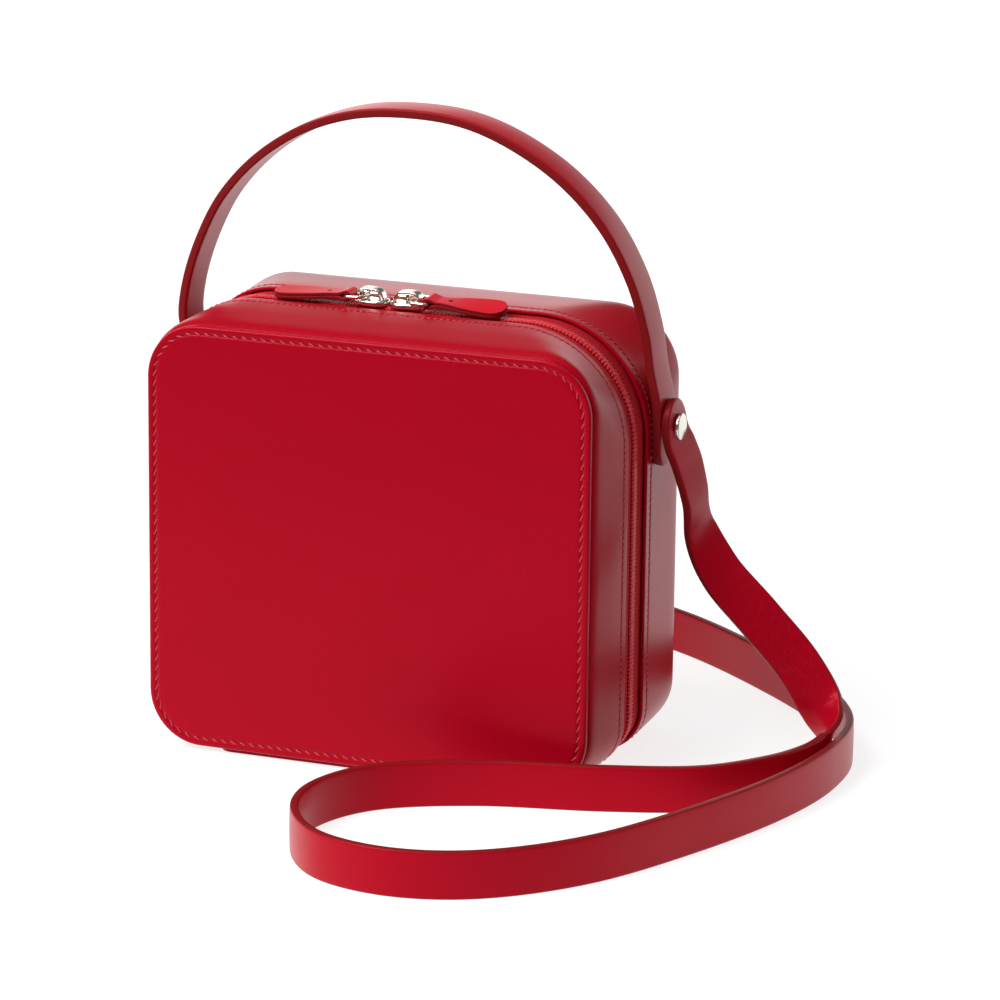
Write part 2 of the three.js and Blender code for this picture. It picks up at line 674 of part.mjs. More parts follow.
/** A geometry with its positions and triangles alone. */
function bareCopy(geometry) {
  const bare = new THREE.BufferGeometry();
  bare.setAttribute('position', geometry.attributes.position);
  bare.setIndex(geometry.index);
  return bare;
}

// Finishes

const calf = { color: 0xa00f1c, roughness: 0.35, metalness: 0 };
const tabCalf = { color: 0xa81420, roughness: 0.4, metalness: 0 };
const wovenTape = { color: 0x95101c, roughness: 0.75, metalness: 0 };
const nylon = { color: 0x8a0c18, roughness: 0.45, metalness: 0 };
const nickel = { color: 0xd8d0c0, roughness: 0.22, metalness: 1 };

// Assembly

const bag = new THREE.Group();

function place(name, geometry, finish, group = bag) {
  const mesh = new THREE.Mesh(geometry, new THREE.MeshStandardMaterial(finish));
  mesh.name = name;
  group.add(mesh);
  return mesh;
}

place('front_panel', panel(true), calf);
place('back_panel', panel(false), calf);
place('lid_gusset', gusset(true), calf);
place('body_gusset', cutAway(gusset(false), [studBore(1), studBore(-1)]), calf);

const base = new THREE.BoxGeometry(baseLength, baseDepth, baseLeather);
base.translate(0, 0, baseLeather / 2);
place('base_hinge', mergeVertices(bareCopy(base)), calf);

const tapeSpan = (zipMouth - coilWidth) / 2 - clearance + tapeUnder;
const tapeStart = coilWidth / 2 + clearance;
const tapeEnd = tapeStart + tapeSpan;
const coilSide = coilWidth / 2;
const coilRise = coilThick - tapeThick;
place('zip_tape_front', zipBand(tapeInset, -tapeEnd, -tapeStart, -tapeThick, 0, tapeSoft), wovenTape);
place('zip_tape_rear', zipBand(tapeInset, tapeStart, tapeEnd, -tapeThick, 0, tapeSoft), wovenTape);
place('zip_coil', zipBand(tapeInset, -coilSide, coilSide, -tapeThick, coilRise, coilSoft), nylon);

const coilTop = zipTop - tapeInset + coilRise;
for (const [name, turn] of [['left', 0], ['right', Math.PI]]) {
  const end = new THREE.Group();
  const away = name === 'left' ? -1 : 1;
  end.position.set(noseShift + (away * noseGap) / 2, zipShift, coilTop + clearance);
  end.rotation.z = turn;
  bag.add(end);
  place(`slider_${name}`, sliderShape(), nickel, end);
  const hinge = new THREE.Group();
  hinge.position.set(-eyeBack, 0, eyeHeight);
  const roll = name === 'left' ? 0 : -tabRoll;
  hinge.rotation.set(THREE.MathUtils.degToRad(roll), -THREE.MathUtils.degToRad(tabDroop[name]), 0);
  end.add(hinge);
  place(`bail_${name}`, bailShape(), nickel, hinge);
  const tab = place(`pull_tab_${name}`, tabShape(-away * tabTwist[name]), tabCalf, hinge);
  tab.position.set(-(bailLength - bailWire), 0, 0);
}

place('handle', handleShape(), calf);
place('shoulder_strap', strapShape(), calf);
place('screw_stud_right', studShape(1), nickel);
place('screw_stud_left', studShape(-1), nickel);

export default bag;
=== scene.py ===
"""A boxy leather shoulder bag: a zipped lid on a deeper body, an arched top handle and a long
shoulder strap that lies in a loop beside it. Metres, +Z up, the front towards -Y."""

import bmesh
import bpy
import numpy as np
from mathutils import Matrix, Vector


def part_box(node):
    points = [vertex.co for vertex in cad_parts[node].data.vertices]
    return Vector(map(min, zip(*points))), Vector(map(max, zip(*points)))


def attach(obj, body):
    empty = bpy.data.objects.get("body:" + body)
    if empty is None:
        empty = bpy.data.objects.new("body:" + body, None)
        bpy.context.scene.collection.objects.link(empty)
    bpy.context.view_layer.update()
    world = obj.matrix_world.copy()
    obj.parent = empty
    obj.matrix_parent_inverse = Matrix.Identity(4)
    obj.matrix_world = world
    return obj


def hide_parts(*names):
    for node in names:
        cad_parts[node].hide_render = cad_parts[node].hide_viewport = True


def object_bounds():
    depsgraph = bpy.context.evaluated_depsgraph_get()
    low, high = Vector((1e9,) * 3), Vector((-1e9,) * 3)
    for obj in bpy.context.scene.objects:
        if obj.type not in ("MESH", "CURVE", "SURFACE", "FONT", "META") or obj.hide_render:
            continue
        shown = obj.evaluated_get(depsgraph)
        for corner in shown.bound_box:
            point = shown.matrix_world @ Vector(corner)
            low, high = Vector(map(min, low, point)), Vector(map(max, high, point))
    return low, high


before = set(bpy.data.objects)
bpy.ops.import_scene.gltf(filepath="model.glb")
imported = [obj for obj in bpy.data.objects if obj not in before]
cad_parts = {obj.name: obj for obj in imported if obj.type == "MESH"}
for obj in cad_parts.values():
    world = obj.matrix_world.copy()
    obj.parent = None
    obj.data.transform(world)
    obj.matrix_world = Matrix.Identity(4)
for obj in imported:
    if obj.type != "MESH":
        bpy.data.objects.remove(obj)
cad_low, cad_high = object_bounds()

# Camera. It stands to the right of the bag and a little above it, with a long lens, and leans by
# about two thirds of a degree, as the photograph does.
mm = 0.001
camera_turn, camera_rise, camera_roll = np.radians([20.87, 14.97, 0.66])
camera_target = np.array([35.24, 0.0, 98.4]) * mm
camera_distance = 1793 * mm
camera_sensor = 36.0
camera_focus_in_pixels = 4729
picture_pixels = 1000

camera_back = np.array([np.sin(camera_turn) * np.cos(camera_rise),
                        -np.cos(camera_turn) * np.cos(camera_rise), np.sin(camera_rise)])
level = np.array([np.cos(camera_turn), np.sin(camera_turn), 0.0])
upright = np.cross(camera_back, level)
camera_right = level * np.cos(camera_roll) + upright * np.sin(camera_roll)
camera_up = upright * np.cos(camera_roll) - level * np.sin(camera_roll)
camera_data = bpy.data.cameras.new("camera")
camera_data.sensor_width = camera_sensor
camera_data.lens = camera_focus_in_pixels * camera_sensor / picture_pixels
camera_data.clip_start, camera_data.clip_end = 0.05, 50
camera = bpy.data.objects.new("camera", camera_data)
bpy.context.scene.collection.objects.link(camera)
camera_axes = np.eye(4)
camera_axes[:3, :4] = np.column_stack(
    [camera_right, camera_up, camera_back, camera_target + camera_back * camera_distance])
camera.matrix_world = Matrix(camera_axes.tolist())
bpy.context.scene.camera = camera

# Floor and light. A white sheet that is lit from below, as on a light table, ends on a grey floor
# in front and at the right, outside the picture. The grey is painted shade: it stands for the unlit
# studio there, so the leather mirrors it dark. A large soft light stands at the front left, and the
# leather that faces up mirrors a long bright wall behind the bag.
bpy.context.scene.view_settings.view_transform = "Standard"
floor_reach = 6.0
sheet_white = (0.30, 0.30, 0.30, 1)
sheet_glow = (0.80, 0.80, 0.80, 1)
sheet_glow_far = (1.0, 1.0, 1.0, 1)
# Painted shade: the darker grey that the floor turns to in front and at the right, for the unlit studio.
floor_painted_shade = (0.15, 0.15, 0.15, 1)
sheet_end_from, sheet_end_to = -0.27, -0.55
sheet_side_from, sheet_side_to = 0.25, 0.36
side_slope, behind_slope = 0.384, 0.85
sheet_behind_from, sheet_behind_to = -0.02, 0.10
glow_far_from, glow_far_to = 0.3, 1.0
wall_bright = (1.0, 1.0, 1.0, 1)
room_dark = (0.09, 0.09, 0.092, 1)
wall_strength = 1.5
wall_top, wall_fade = 0.25, 0.36
wall_side_from, wall_side_to = 0.0, 0.5


class Wire:
    """A value inside a material. Sums and products of wires add Math nodes, and node() adds any other."""

    def __init__(self, tree, socket=None):
        self.tree = tree
        self.socket = socket

    def node(self, kind, inputs, settings=(), output=0):
        """A new node: its settings are set first, then each input gets its value or its wire."""
        made = self.tree.nodes.new(kind)
        for name, value in dict(settings).items():
            setattr(made, name, value)
        for name, value in inputs.items():
            if isinstance(value, Wire):
                self.tree.links.new(value.socket, made.inputs[name])
            else:
                made.inputs[name].default_value = value
        return Wire(self.tree, made.outputs[output])

    def math(self, operation, first, second):
        return self.node("ShaderNodeMath", {0: first, 1: second}, {"operation": operation})

    def __add__(self, other):
        return self.math("ADD", self, other)

    def __sub__(self, other):
        return self.math("SUBTRACT", self, other)

    def __rsub__(self, other):
        return self.math("SUBTRACT", other, self)

    def __mul__(self, other):
        return self.math("MULTIPLY", self, other)

    __radd__ = __add__
    __rmul__ = __mul__

    def blend(self, first, second):
        """A colour that goes from first to second as this value goes from 0 to 1."""
        return self.node("ShaderNodeMix", {0: self, 6: first, 7: second}, {"data_type": "RGBA"}, 2)

    def step(self, low, high):
        """Goes smoothly from 0 to 1 as this value goes from low to high."""
        return self.node("ShaderNodeMapRange", {0: self, 1: low, 2: high},
                         {"interpolation_type": "SMOOTHSTEP"})

    def feed(self, shader, socket):
        self.tree.links.new(self.socket, shader.inputs[socket])


def new_finish(name, **sockets):
    """A material, its shader with the named sockets set, and a wire to work on."""
    finish = bpy.data.materials.new(name)
    finish.use_nodes = True
    shader = finish.node_tree.nodes["Principled BSDF"]
    for socket, value in sockets.items():
        shader.inputs[socket.replace("_", " ")].default_value = value
    return finish, shader, Wire(finish.node_tree)


def soft_light(name, place, aim, size, power):
    """A square area light at place that shines at aim."""
    data = bpy.data.lights.new(name, "AREA")
    data.shape, data.size, data.energy = "SQUARE", size, power
    light = bpy.data.objects.new(name, data)
    bpy.context.scene.collection.objects.link(light)
    back = np.subtract(place, aim)
    back = back / np.linalg.norm(back)
    side = np.cross([0.0, 1.0, 0.01], back)
    side = side / np.linalg.norm(side)
    axes = np.eye(4)
    axes[:3, :4] = np.column_stack([side, np.cross(back, side), back, place])
    light.matrix_world = Matrix(axes.tolist())


world = bpy.data.worlds.new("room")
bpy.context.scene.world = world
world.use_nodes = True
room = Wire(world.node_tree)
direction = room.node("ShaderNodeTexCoord", {}, output="Generated")
behind = room.node("ShaderNodeSeparateXYZ", {0: direction}, output=1).step(wall_side_from, wall_side_to)
below = room.node("ShaderNodeSeparateXYZ", {0: direction}, output=2).step(wall_fade, wall_top)
background = world.node_tree.nodes["Background"]
(behind * below).blend(room_dark, wall_bright).feed(background, "Color")
background.inputs["Strength"].default_value = wall_strength

soft_light("key", place=(-0.9, -1.2, 1.8), aim=(0.0, 0.0, 0.08), size=1.5, power=68)
soft_light("ceiling", place=(0.0, 0.1, 2.0), aim=(0.0, 0.0, 0.0), size=1.8, power=8)

paper, paper_shader, paper_wire = new_finish(
    "paper", Roughness=0.8, Specular_IOR_Level=0.0, Emission_Strength=1.0)
floor_place = paper_wire.node("ShaderNodeTexCoord", {}, output="Object")
floor_across = paper_wire.node("ShaderNodeSeparateXYZ", {0: floor_place}, output=0)
floor_depth = paper_wire.node("ShaderNodeSeparateXYZ", {0: floor_place}, output=1)
beside = (floor_across + side_slope * floor_depth).step(sheet_side_from, sheet_side_to)
beside = beside * (floor_across - behind_slope * floor_depth).step(sheet_behind_from, sheet_behind_to)
# The sheet is white and glows where this is 1. In front and at the right it takes the painted shade.
sheet = floor_depth.step(sheet_end_to, sheet_end_from) * (1.0 - beside)
sheet.blend(floor_painted_shade, sheet_white).feed(paper_shader, "Base Color")
glow = floor_depth.step(glow_far_from, glow_far_to).blend(sheet_glow, sheet_glow_far)
sheet.blend(floor_painted_shade, glow).feed(paper_shader, "Emission Color")
floor_data = bpy.data.meshes.new("floor")
floor_data.from_pydata([(-floor_reach, -floor_reach, 0), (floor_reach, -floor_reach, 0),
                        (floor_reach, floor_reach, 0), (-floor_reach, floor_reach, 0)], [], [(0, 1, 2, 3)])
floor_data.materials.append(paper)
floor = bpy.data.objects.new("floor", floor_data)
bpy.context.scene.collection.objects.link(floor)
floor.location.z = min(cad_low.z, 0.0)

# Front and back panels. Each is a flat piece of thick box calf with rounded corners and dyed,
# polished edges, sewn through to the gusset behind it along a pricked groove.
case_depth = 98 * mm
panel_half = 88.8 * mm
panel_low = 2.0 * mm
panel_high = 166.6 * mm
panel_thick = 2.4 * mm
panel_corner = 21 * mm
back_corner_right = 25.6 * mm
back_corner_left = 23.0 * mm
back_corner_low = 20.4 * mm
panel_crown = 0.5 * mm
panel_stitch_inset = 3.0 * mm
panel_stitch_pitch = 3.86 * mm
panel_stitch_show = 3.2 * mm
panel_stitch_slant = 0.45
panel_groove = 0.42 * mm
least_corner = 1.5 * mm
corner_points = 16
side_points = 20

calf_red = (0.39, 0.0010, 0.0125, 1)
calf_deep = (0.33, 0.0007, 0.0085, 1)
edge_red = (0.19, 0.008, 0.009, 1)
gloss_tint = (1.0, 0.16, 0.20, 1)
thread_red = (0.52, 0.030, 0.045, 1)
# Painted shade: near-black for the shade inside the stitch holes and the tab's punched hole.
hole_shade_dark = (0.05, 0.001, 0.002, 1)
thread_thick = 0.8 * mm
clouds_per_metre = 17.0
mottles_per_metre = 300.0
wrinkles_per_metre = 330.0
crease_depth = 1.6 * mm

outline_angles = np.radians(np.concatenate([np.concatenate(
    [np.linspace(start, start + 90, corner_points), np.full(side_points, start + 90.0)])
    for start in (-90, 0, 90, 180)]))


def outline(half, low, high, corners, inset):
    """Rounded rectangles in X and Z, one for each row of the inputs, as an array [row, point, 2].
    Each corner is a quarter circle about a centre that lies its radius inside both sides, and the
    inset draws the sides in and takes the same off the radii. Straight sides get even points."""
    half, low, high, inset = np.broadcast_arrays(*np.atleast_1d(half, low, high, inset))
    radii = np.maximum(np.broadcast_to(corners, (len(half), 4)) - inset[:, None], least_corner)
    side = np.array([1, 1, -1, -1])
    x = side * (half[:, None] - inset[:, None] - radii)
    z = np.where([False, True, True, False], (high - inset)[:, None] - radii, (low + inset)[:, None] + radii)
    turn = np.radians(np.array([-90, 0, 90, 180])[:, None] + np.linspace(0, 90, corner_points))
    arcs = np.stack([x[..., None] + radii[..., None] * np.cos(turn),
                     z[..., None] + radii[..., None] * np.sin(turn)], axis=-1)
    share = (np.arange(side_points) + 1)[:, None] / (side_points + 1)
    ends, starts = arcs[:, :, -1:], np.roll(arcs, -1, axis=1)[:, :, :1]
    sides = ends + (starts - ends) * share
    return np.concatenate([arcs, sides], axis=2).reshape(len(half), -1, 2)


def make_piece(name, points, faces, finish, uv=None, masks=(), smooth=True):
    """A mesh object from points and polygons. Its faces are turned over where its signed volume, the
    sum over all triangles of a . (b x c), is negative. uv and masks hold one value for each point."""
    points = np.asarray(points, float).reshape(-1, 3)
    a = points[faces[:, 0]]
    volume = sum(np.einsum("ij,ij->", a, np.cross(points[faces[:, k]], points[faces[:, k + 1]]))
                 for k in range(1, faces.shape[1] - 1))
    if volume < 0:
        faces = faces[:, ::-1]
    mesh = bpy.data.meshes.new(name)
    mesh.vertices.add(len(points))
    mesh.vertices.foreach_set("co", points.ravel())
    mesh.loops.add(faces.size)
    mesh.loops.foreach_set("vertex_index", faces.ravel().astype(np.int32))
    mesh.polygons.add(len(faces))
    mesh.polygons.foreach_set("loop_start", np.arange(0, faces.size, faces.shape[1], dtype=np.int32))
    mesh.update(calc_edges=True)
    if uv is not None:
        layer = mesh.uv_layers.new(name="surface")
        layer.data.foreach_set("uv", np.asarray(uv).reshape(-1, 2)[faces.ravel()].ravel().astype(np.float32))
    for mask, values in dict(masks).items():
        attribute = mesh.attributes.new(mask, "FLOAT", "POINT")
        attribute.data.foreach_set("value", np.asarray(values, np.float32).ravel())
    mesh.polygons.foreach_set("use_smooth", np.full(len(faces), smooth))
    mesh.materials.append(finish)
    piece = bpy.data.objects.new(name, mesh)
    bpy.context.scene.collection.objects.link(piece)
    return piece


def grid_faces(rows, columns, around=False, along=False):
    """Four-sided faces between neighbours of a grid of points. A grid that closes in a direction also
    joins its last line to its first one there."""
    r = np.arange(rows if along else rows - 1)[:, None]
    c = np.arange(columns if around else columns - 1)[None, :]
    after_r, after_c = (r + 1) % rows, (c + 1) % columns
    corners = np.broadcast_arrays(r * columns + c, r * columns + after_c,
                                  after_r * columns + after_c, after_r * columns + c)
    return np.stack(corners, -1).reshape(-1, 4)


def weld(piece):
    """Joins points that lie on each other, where a ring closes or ends in a pole, and drops empty faces."""
    work = bmesh.new()
    work.from_mesh(piece.data)
    bmesh.ops.remove_doubles(work, verts=work.verts, dist=1e-7)
    bmesh.ops.dissolve_degenerate(work, edges=work.edges, dist=1e-7)
    work.to_mesh(piece.data)
    work.free()


def fit(piece, slot, *nodes):
    """The piece belongs to the bag's one body and stands for CAD nodes. The slot is not used."""
    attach(piece, "root")
    if nodes:
        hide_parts(*nodes)


def leather(name, colour, deep, gloss, shine):
    """Calf dyed through and polished: a cloudy dye with a fine mottle, darker dyed edges where the
    mesh's edge mask is 1, and wrinkles where its crease mask is 1."""
    finish, shader, wire = new_finish(name, Metallic=0.0, IOR=1.45, Specular_IOR_Level=shine,
                                      Specular_Tint=gloss_tint)
    place = wire.node("ShaderNodeTexCoord", {}, output="Object")
    cloud = wire.node("ShaderNodeTexNoise", {"Vector": place, "Scale": clouds_per_metre, "Detail": 2.0})
    mottle = wire.node("ShaderNodeTexNoise", {"Vector": place, "Scale": mottles_per_metre, "Detail": 1.0})
    wrinkle = wire.node("ShaderNodeTexNoise", {
        "Vector": place, "Scale": wrinkles_per_metre, "Detail": 2.0, "Distortion": 0.6})
    crease = wire.node("ShaderNodeAttribute", {}, {"attribute_name": "crease"}, "Fac")
    edge = wire.node("ShaderNodeAttribute", {}, {"attribute_name": "edge"}, "Fac")
    dye = (cloud * 0.65 + mottle * 0.25).blend(colour, deep)
    edge.blend(dye, edge_red).feed(shader, "Base Color")
    (gloss + cloud * 0.10 + edge * 0.12).feed(shader, "Roughness")
    wire.node("ShaderNodeBump", {"Strength": 0.5, "Distance": crease_depth,
                                 "Height": crease * wrinkle}).feed(shader, "Normal")
    return finish


box_calf = leather("box_calf", calf_red, calf_deep, 0.24, 0.42)
lid_calf = leather("lid_calf", calf_red, calf_deep, 0.26, 0.15)
thread, thread_shader, thread_wire = new_finish("waxed_thread", Roughness=0.42, Specular_IOR_Level=0.35)
# Each thread darkens to the hole shade at its ends, where it sinks into the leather: painted shade.
thread_end_shade = thread_wire.node("ShaderNodeAttribute", {}, {"attribute_name": "hole_shade"}, "Fac")
thread_end_shade.blend(thread_red, hole_shade_dark).feed(thread_shader, "Base Color")

# Profile of a panel from the middle of its back, round its edge and over its face: how far in from
# the outline and how far behind the face, in millimetres.
panel_profile = np.array([
    (18.0, 2.40), (9.0, 2.40), (0.20, 2.40), (0.00, 2.20), (0.00, 1.10), (0.07, 0.66), (0.24, 0.32),
    (0.52, 0.10), (0.90, 0.00), (1.60, 0.00), (2.05, 0.04), (2.35, 0.16), (2.65, 0.34), (3.00, 0.42),
    (3.35, 0.34), (3.65, 0.16), (3.95, 0.04), (4.40, 0.00), (6.50, 0.00), (10.0, 0.00), (14.0, 0.00),
    (18.0, 0.00)]) * mm
centre_shares = np.array([0.88, 0.74, 0.60, 0.46, 0.32, 0.18, 0.08, 0.0])


def panel(name, side, corners):
    """A panel from rings along its profile. The last ring on each side shrinks to the panel's middle,
    and the face is crowned: it stands out by the product of two parabolas across and up."""
    rings = outline(panel_half, panel_low, panel_high, corners, panel_profile[:, 0])
    middle = np.array([0.0, (panel_low + panel_high) / 2])
    shrink = centre_shares[:, None, None]
    rings = np.concatenate([middle + (rings[:1] - middle) * shrink[::-1], rings,
                            middle + (rings[-1:] - middle) * shrink])
    depth = np.concatenate([np.full(len(centre_shares), panel_thick), panel_profile[:, 1],
                            np.zeros(len(centre_shares))])[:, None]
    across = rings[..., 0] / panel_half
    high = (rings[..., 1] - middle[1]) / (panel_high - middle[1])
    crown = panel_crown * (1 - across ** 2) * (1 - high ** 2) * (depth < panel_thick / 2)
    y = side * (case_depth / 2 - depth + crown)
    points = np.stack([rings[..., 0], y, rings[..., 1]], axis=-1)
    piece = make_piece(name, points, grid_faces(*points.shape[:2], around=True), box_calf)
    weld(piece)
    return piece


def stitches(name, route, outward, pitch, show, slant):
    """A seam's visible threads. Along a closed route, holes lie at an even pitch and each thread is a
    capsule between two of them: its middle line is an arch that dips into the leather at both ends,
    turned by the slant, and its radius falls to nothing there as the root of 1 - s ** 4."""
    closed_route = np.vstack([route, route[:1]])
    closed_outward = np.vstack([outward, outward[:1]])
    far = np.concatenate([[0], np.cumsum(np.linalg.norm(np.diff(closed_route, axis=0), axis=1))])
    count = int(round(far[-1] / pitch))
    at = (np.arange(count) + 0.5) * far[-1] / count

    def along_route(values, places):
        return np.stack([np.interp(places % far[-1], far, values[:, k]) for k in range(3)], axis=-1)

    centre, normal = along_route(closed_route, at), along_route(closed_outward, at)
    normal /= np.linalg.norm(normal, axis=1, keepdims=True)
    tangent = along_route(closed_route, at + pitch / 3) - along_route(closed_route, at - pitch / 3)
    tangent /= np.linalg.norm(tangent, axis=1, keepdims=True)
    across = np.cross(normal, tangent)
    s = np.linspace(-1, 1, 9)[:, None]
    a = np.linspace(0, 2 * np.pi, 8, endpoint=False)[None, :]
    radius = thread_thick / 2 * np.sqrt(np.maximum(1 - s ** 4, 0))
    lift = thread_thick * (0.22 - 0.75 * s ** 4)
    local = np.stack(np.broadcast_arrays(s * show / 2, slant * s * show / 2 + radius * np.cos(a),
                                         lift + radius * np.sin(a)), axis=-1)
    points = (centre[:, None, None] + local[None, ..., :1] * tangent[:, None, None]
              + local[None, ..., 1:2] * across[:, None, None] + local[None, ..., 2:] * normal[:, None, None])
    one = grid_faces(9, 8, around=True)
    faces = (one[None] + np.arange(count)[:, None, None] * 72).reshape(-1, 4)
    # Painted shade: 1 at the thread's ends, which take the dark colour of the holes.
    hole_shade = np.broadcast_to(np.clip((np.abs(s) - 0.55) / 0.4, 0, 1), (9, 8))
    piece = make_piece(name, points, faces, thread, masks={"hole_shade": np.tile(hole_shade, (count, 1, 1))})
    weld(piece)
    return piece


front_corners = [panel_corner] * 4
back_corners = [back_corner_low, back_corner_right, back_corner_left, back_corner_low]
for name, side, corners in (("front", -1, front_corners), ("back", 1, back_corners)):
    fit(panel(f"{name}_panel_leather", side, corners), "red_calf", f"{name}_panel")
    seam = outline(panel_half, panel_low, panel_high, corners, panel_stitch_inset)[0]
    depth = case_depth / 2 - panel_groove
    route = np.stack([seam[:, 0], np.full(len(seam), side * depth), seam[:, 1]], axis=-1)
    facing = np.broadcast_to([0.0, side, 0.0], route.shape)
    fit(stitches(f"{name}_panel_stitches", route, facing, panel_stitch_pitch, panel_stitch_show,
                 side * panel_stitch_slant), "red_calf")

# Lid and body. The lid's gusset and the body's are bands of calf, wet-moulded round a last: each has
# a bead and a turned-in flange behind its panel, and a skived edge that is sewn to the zip's tape.
panel_swell_side = 2.6 * mm
panel_swell_top = 4.4 * mm
zip_corners = np.array([18, 44, 31, 18]) * mm
skin_low = 1.8 * mm
skin_depth = 92.6 * mm
gusset_thick = 2.2 * mm
gusset_skive = 1.3 * mm
flange_reach = 9 * mm
zip_mouth = 20.6 * mm
zip_middle = -2.9 * mm
tape_under = 4.3 * mm
gusset_seam_pitch = 2.5 * mm
gusset_seam_show = 1.9 * mm
gusset_seam_slant = 0.25
lid_seam_back = 5.0 * mm
body_seam_back = 4.6 * mm
seam_groove_half = 0.9 * mm
seam_groove_depth = 0.28 * mm

# How the case's skin runs from the front flange (deep -0.5) to the back one (deep 0.5): shares of
# the depth between the flanges, of the side swell, of the top swell, and of the way from the
# panel's corners to the zip's.
skin_rows = np.array([
    (-0.500, -0.60, -0.36, 0.00), (-0.496, -0.15, -0.09, 0.00), (-0.481, 0.22, 0.16, 0.02),
    (-0.447, 0.45, 0.36, 0.12), (-0.372, 0.64, 0.58, 0.38), (-0.287, 0.82, 0.80, 0.66),
    (-0.191, 0.96, 0.96, 0.92), (-0.114, 1.00, 1.00, 1.00), (0.114, 1.00, 1.00, 1.00),
    (0.213, 1.00, 0.98, 0.90), (0.330, 1.00, 0.88, 0.64), (0.425, 0.98, 0.76, 0.40),
    (0.475, 0.82, 0.54, 0.26), (0.494, 0.40, 0.14, 0.22), (0.500, -0.20, -0.20, 0.20)])


def smooth_rows(rows, steps):
    """A smooth curve through rows of numbers: between two rows it is the cubic whose slope at each of
    them is half the way from the row before to the row after."""
    padded = np.vstack([2 * rows[0] - rows[1], rows, 2 * rows[-1] - rows[-2]])
    before, here, after, beyond = padded[:-3, None], padded[1:-2, None], padded[2:-1, None], padded[3:, None]
    t = (np.arange(steps) / steps)[None, :, None]
    curve = (here * (2 * t ** 3 - 3 * t ** 2 + 1) + (after - before) / 2 * (t ** 3 - 2 * t ** 2 + t)
             + after * (3 * t ** 2 - 2 * t ** 3) + (beyond - here) / 2 * (t ** 3 - t ** 2))
    return np.vstack([curve.reshape(-1, rows.shape[1]), rows[-1:]])


skin_curve = smooth_rows(skin_rows, 6)


def skin_rings(y, inset):
    """Rings of the case's skin at depths y, drawn in by inset: outlines whose sides, top and corners
    are worked out from the smooth curve through the skin's rows."""
    wide, high, round_off = (np.interp(y / skin_depth, skin_curve[:, 0], column)
                             for column in skin_curve[:, 1:].T)
    corners = panel_corner + round_off[:, None] * (zip_corners - panel_corner)
    rings = outline(panel_half + wide * panel_swell_side, skin_low + np.maximum(0, -wide) * panel_swell_side,
                    panel_high + high * panel_swell_top, corners, inset)
    return np.stack([rings[..., 0], np.broadcast_to(y[:, None], rings.shape[:2]), rings[..., 1]], axis=-1)


def gusset(name, side):
    """A closed shell: its outer rings run from the flange to the zip, with a shallow groove under the
    seam, then its edge turns in, and the inner rings run back to the flange."""
    edge = zip_middle + side * zip_mouth / 2
    seam = edge + side * (lid_seam_back if side < 0 else body_seam_back)
    flange = side * skin_depth / 2
    outer = np.unique(np.concatenate([
        skin_curve[:, 0] * skin_depth, np.linspace(-1, 1, 9) * seam_groove_half + seam,
        edge + side * np.array([0.9, 0.6]) * mm]))
    outer = outer[side * (outer - edge) > 0.5 * mm][::-side]
    dip = seam_groove_depth * np.exp(-((outer - seam) / (seam_groove_half / 2)) ** 2)
    turn_in = np.array([(0.42, 0.02), (0.20, 0.10), (0.05, 0.26), (0.00, 0.50), (0.00, 0.90), (0.06, 1.18),
                        (0.25, 1.30)]) * mm
    inner = edge + side * np.array([tape_under, tape_under + 1.2 * mm])
    inner_end = flange - side * gusset_thick
    y = np.concatenate([[flange], outer, edge + side * turn_in[:, 0], inner,
                        np.linspace(inner[-1], inner_end, 8)[1:], [inner_end]])
    inset = np.concatenate([[flange_reach], dip, turn_in[:, 1], [gusset_skive, gusset_thick],
                            np.full(6, gusset_thick), [gusset_thick + 1.2 * mm], [flange_reach]])
    points = skin_rings(y, inset)
    finish = lid_calf if side < 0 else box_calf
    piece = make_piece(name, points, grid_faces(*points.shape[:2], around=True, along=True), finish)
    weld(piece)
    seam_at = np.array([seam])
    near = skin_rings(seam_at + 0.5 * mm, np.zeros(1))[0] - skin_rings(seam_at - 0.5 * mm, np.zeros(1))[0]
    route = skin_rings(seam_at, np.full(1, seam_groove_depth))[0]
    ahead = np.roll(route, -1, axis=0) - np.roll(route, 1, axis=0)
    outward = np.cross(near, ahead)
    outward /= np.linalg.norm(outward, axis=1, keepdims=True)
    return piece, route, outward


for name, side in (("lid", -1), ("body", 1)):
    shell, route, outward = gusset(f"{name}_leather", side)
    fit(shell, "red_calf", f"{name}_gusset")
    fit(stitches(f"{name}_zip_stitches", route, outward, gusset_seam_pitch, gusset_seam_show,
                 gusset_seam_slant), "red_calf")

# Base strip. It hinges the lid to the body, and the bag stands on it: a flat piece of calf with
# rounded corners and softened edges, sewn under both.
base_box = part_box("base_hinge")
base_half = (base_box[1].x - base_box[0].x) / 2
base_deep = (base_box[1].y - base_box[0].y) / 2
base_corner = 6 * mm
base_profile = np.array([(0.5, 0.0), (0.1, 0.12), (0.0, 0.4), (0.0, 1.1), (0.12, 1.38), (0.5, 1.5)]) * mm

base_rings = outline(base_half, -base_deep, base_deep, [base_corner] * 4, base_profile[:, 0])
base_points = np.stack([base_rings[..., 0], base_rings[..., 1],
                        np.broadcast_to(base_profile[:, 1, None], base_rings.shape[:2])], axis=-1)
base_points = np.concatenate([base_points[:1] * [0, 0, 1], base_points, base_points[-1:] * [0, 0, 1]])
base = make_piece("base_strip", base_points, grid_faces(*base_points.shape[:2], around=True), box_calf)
weld(base)
fit(base, "red_calf", "base_hinge")

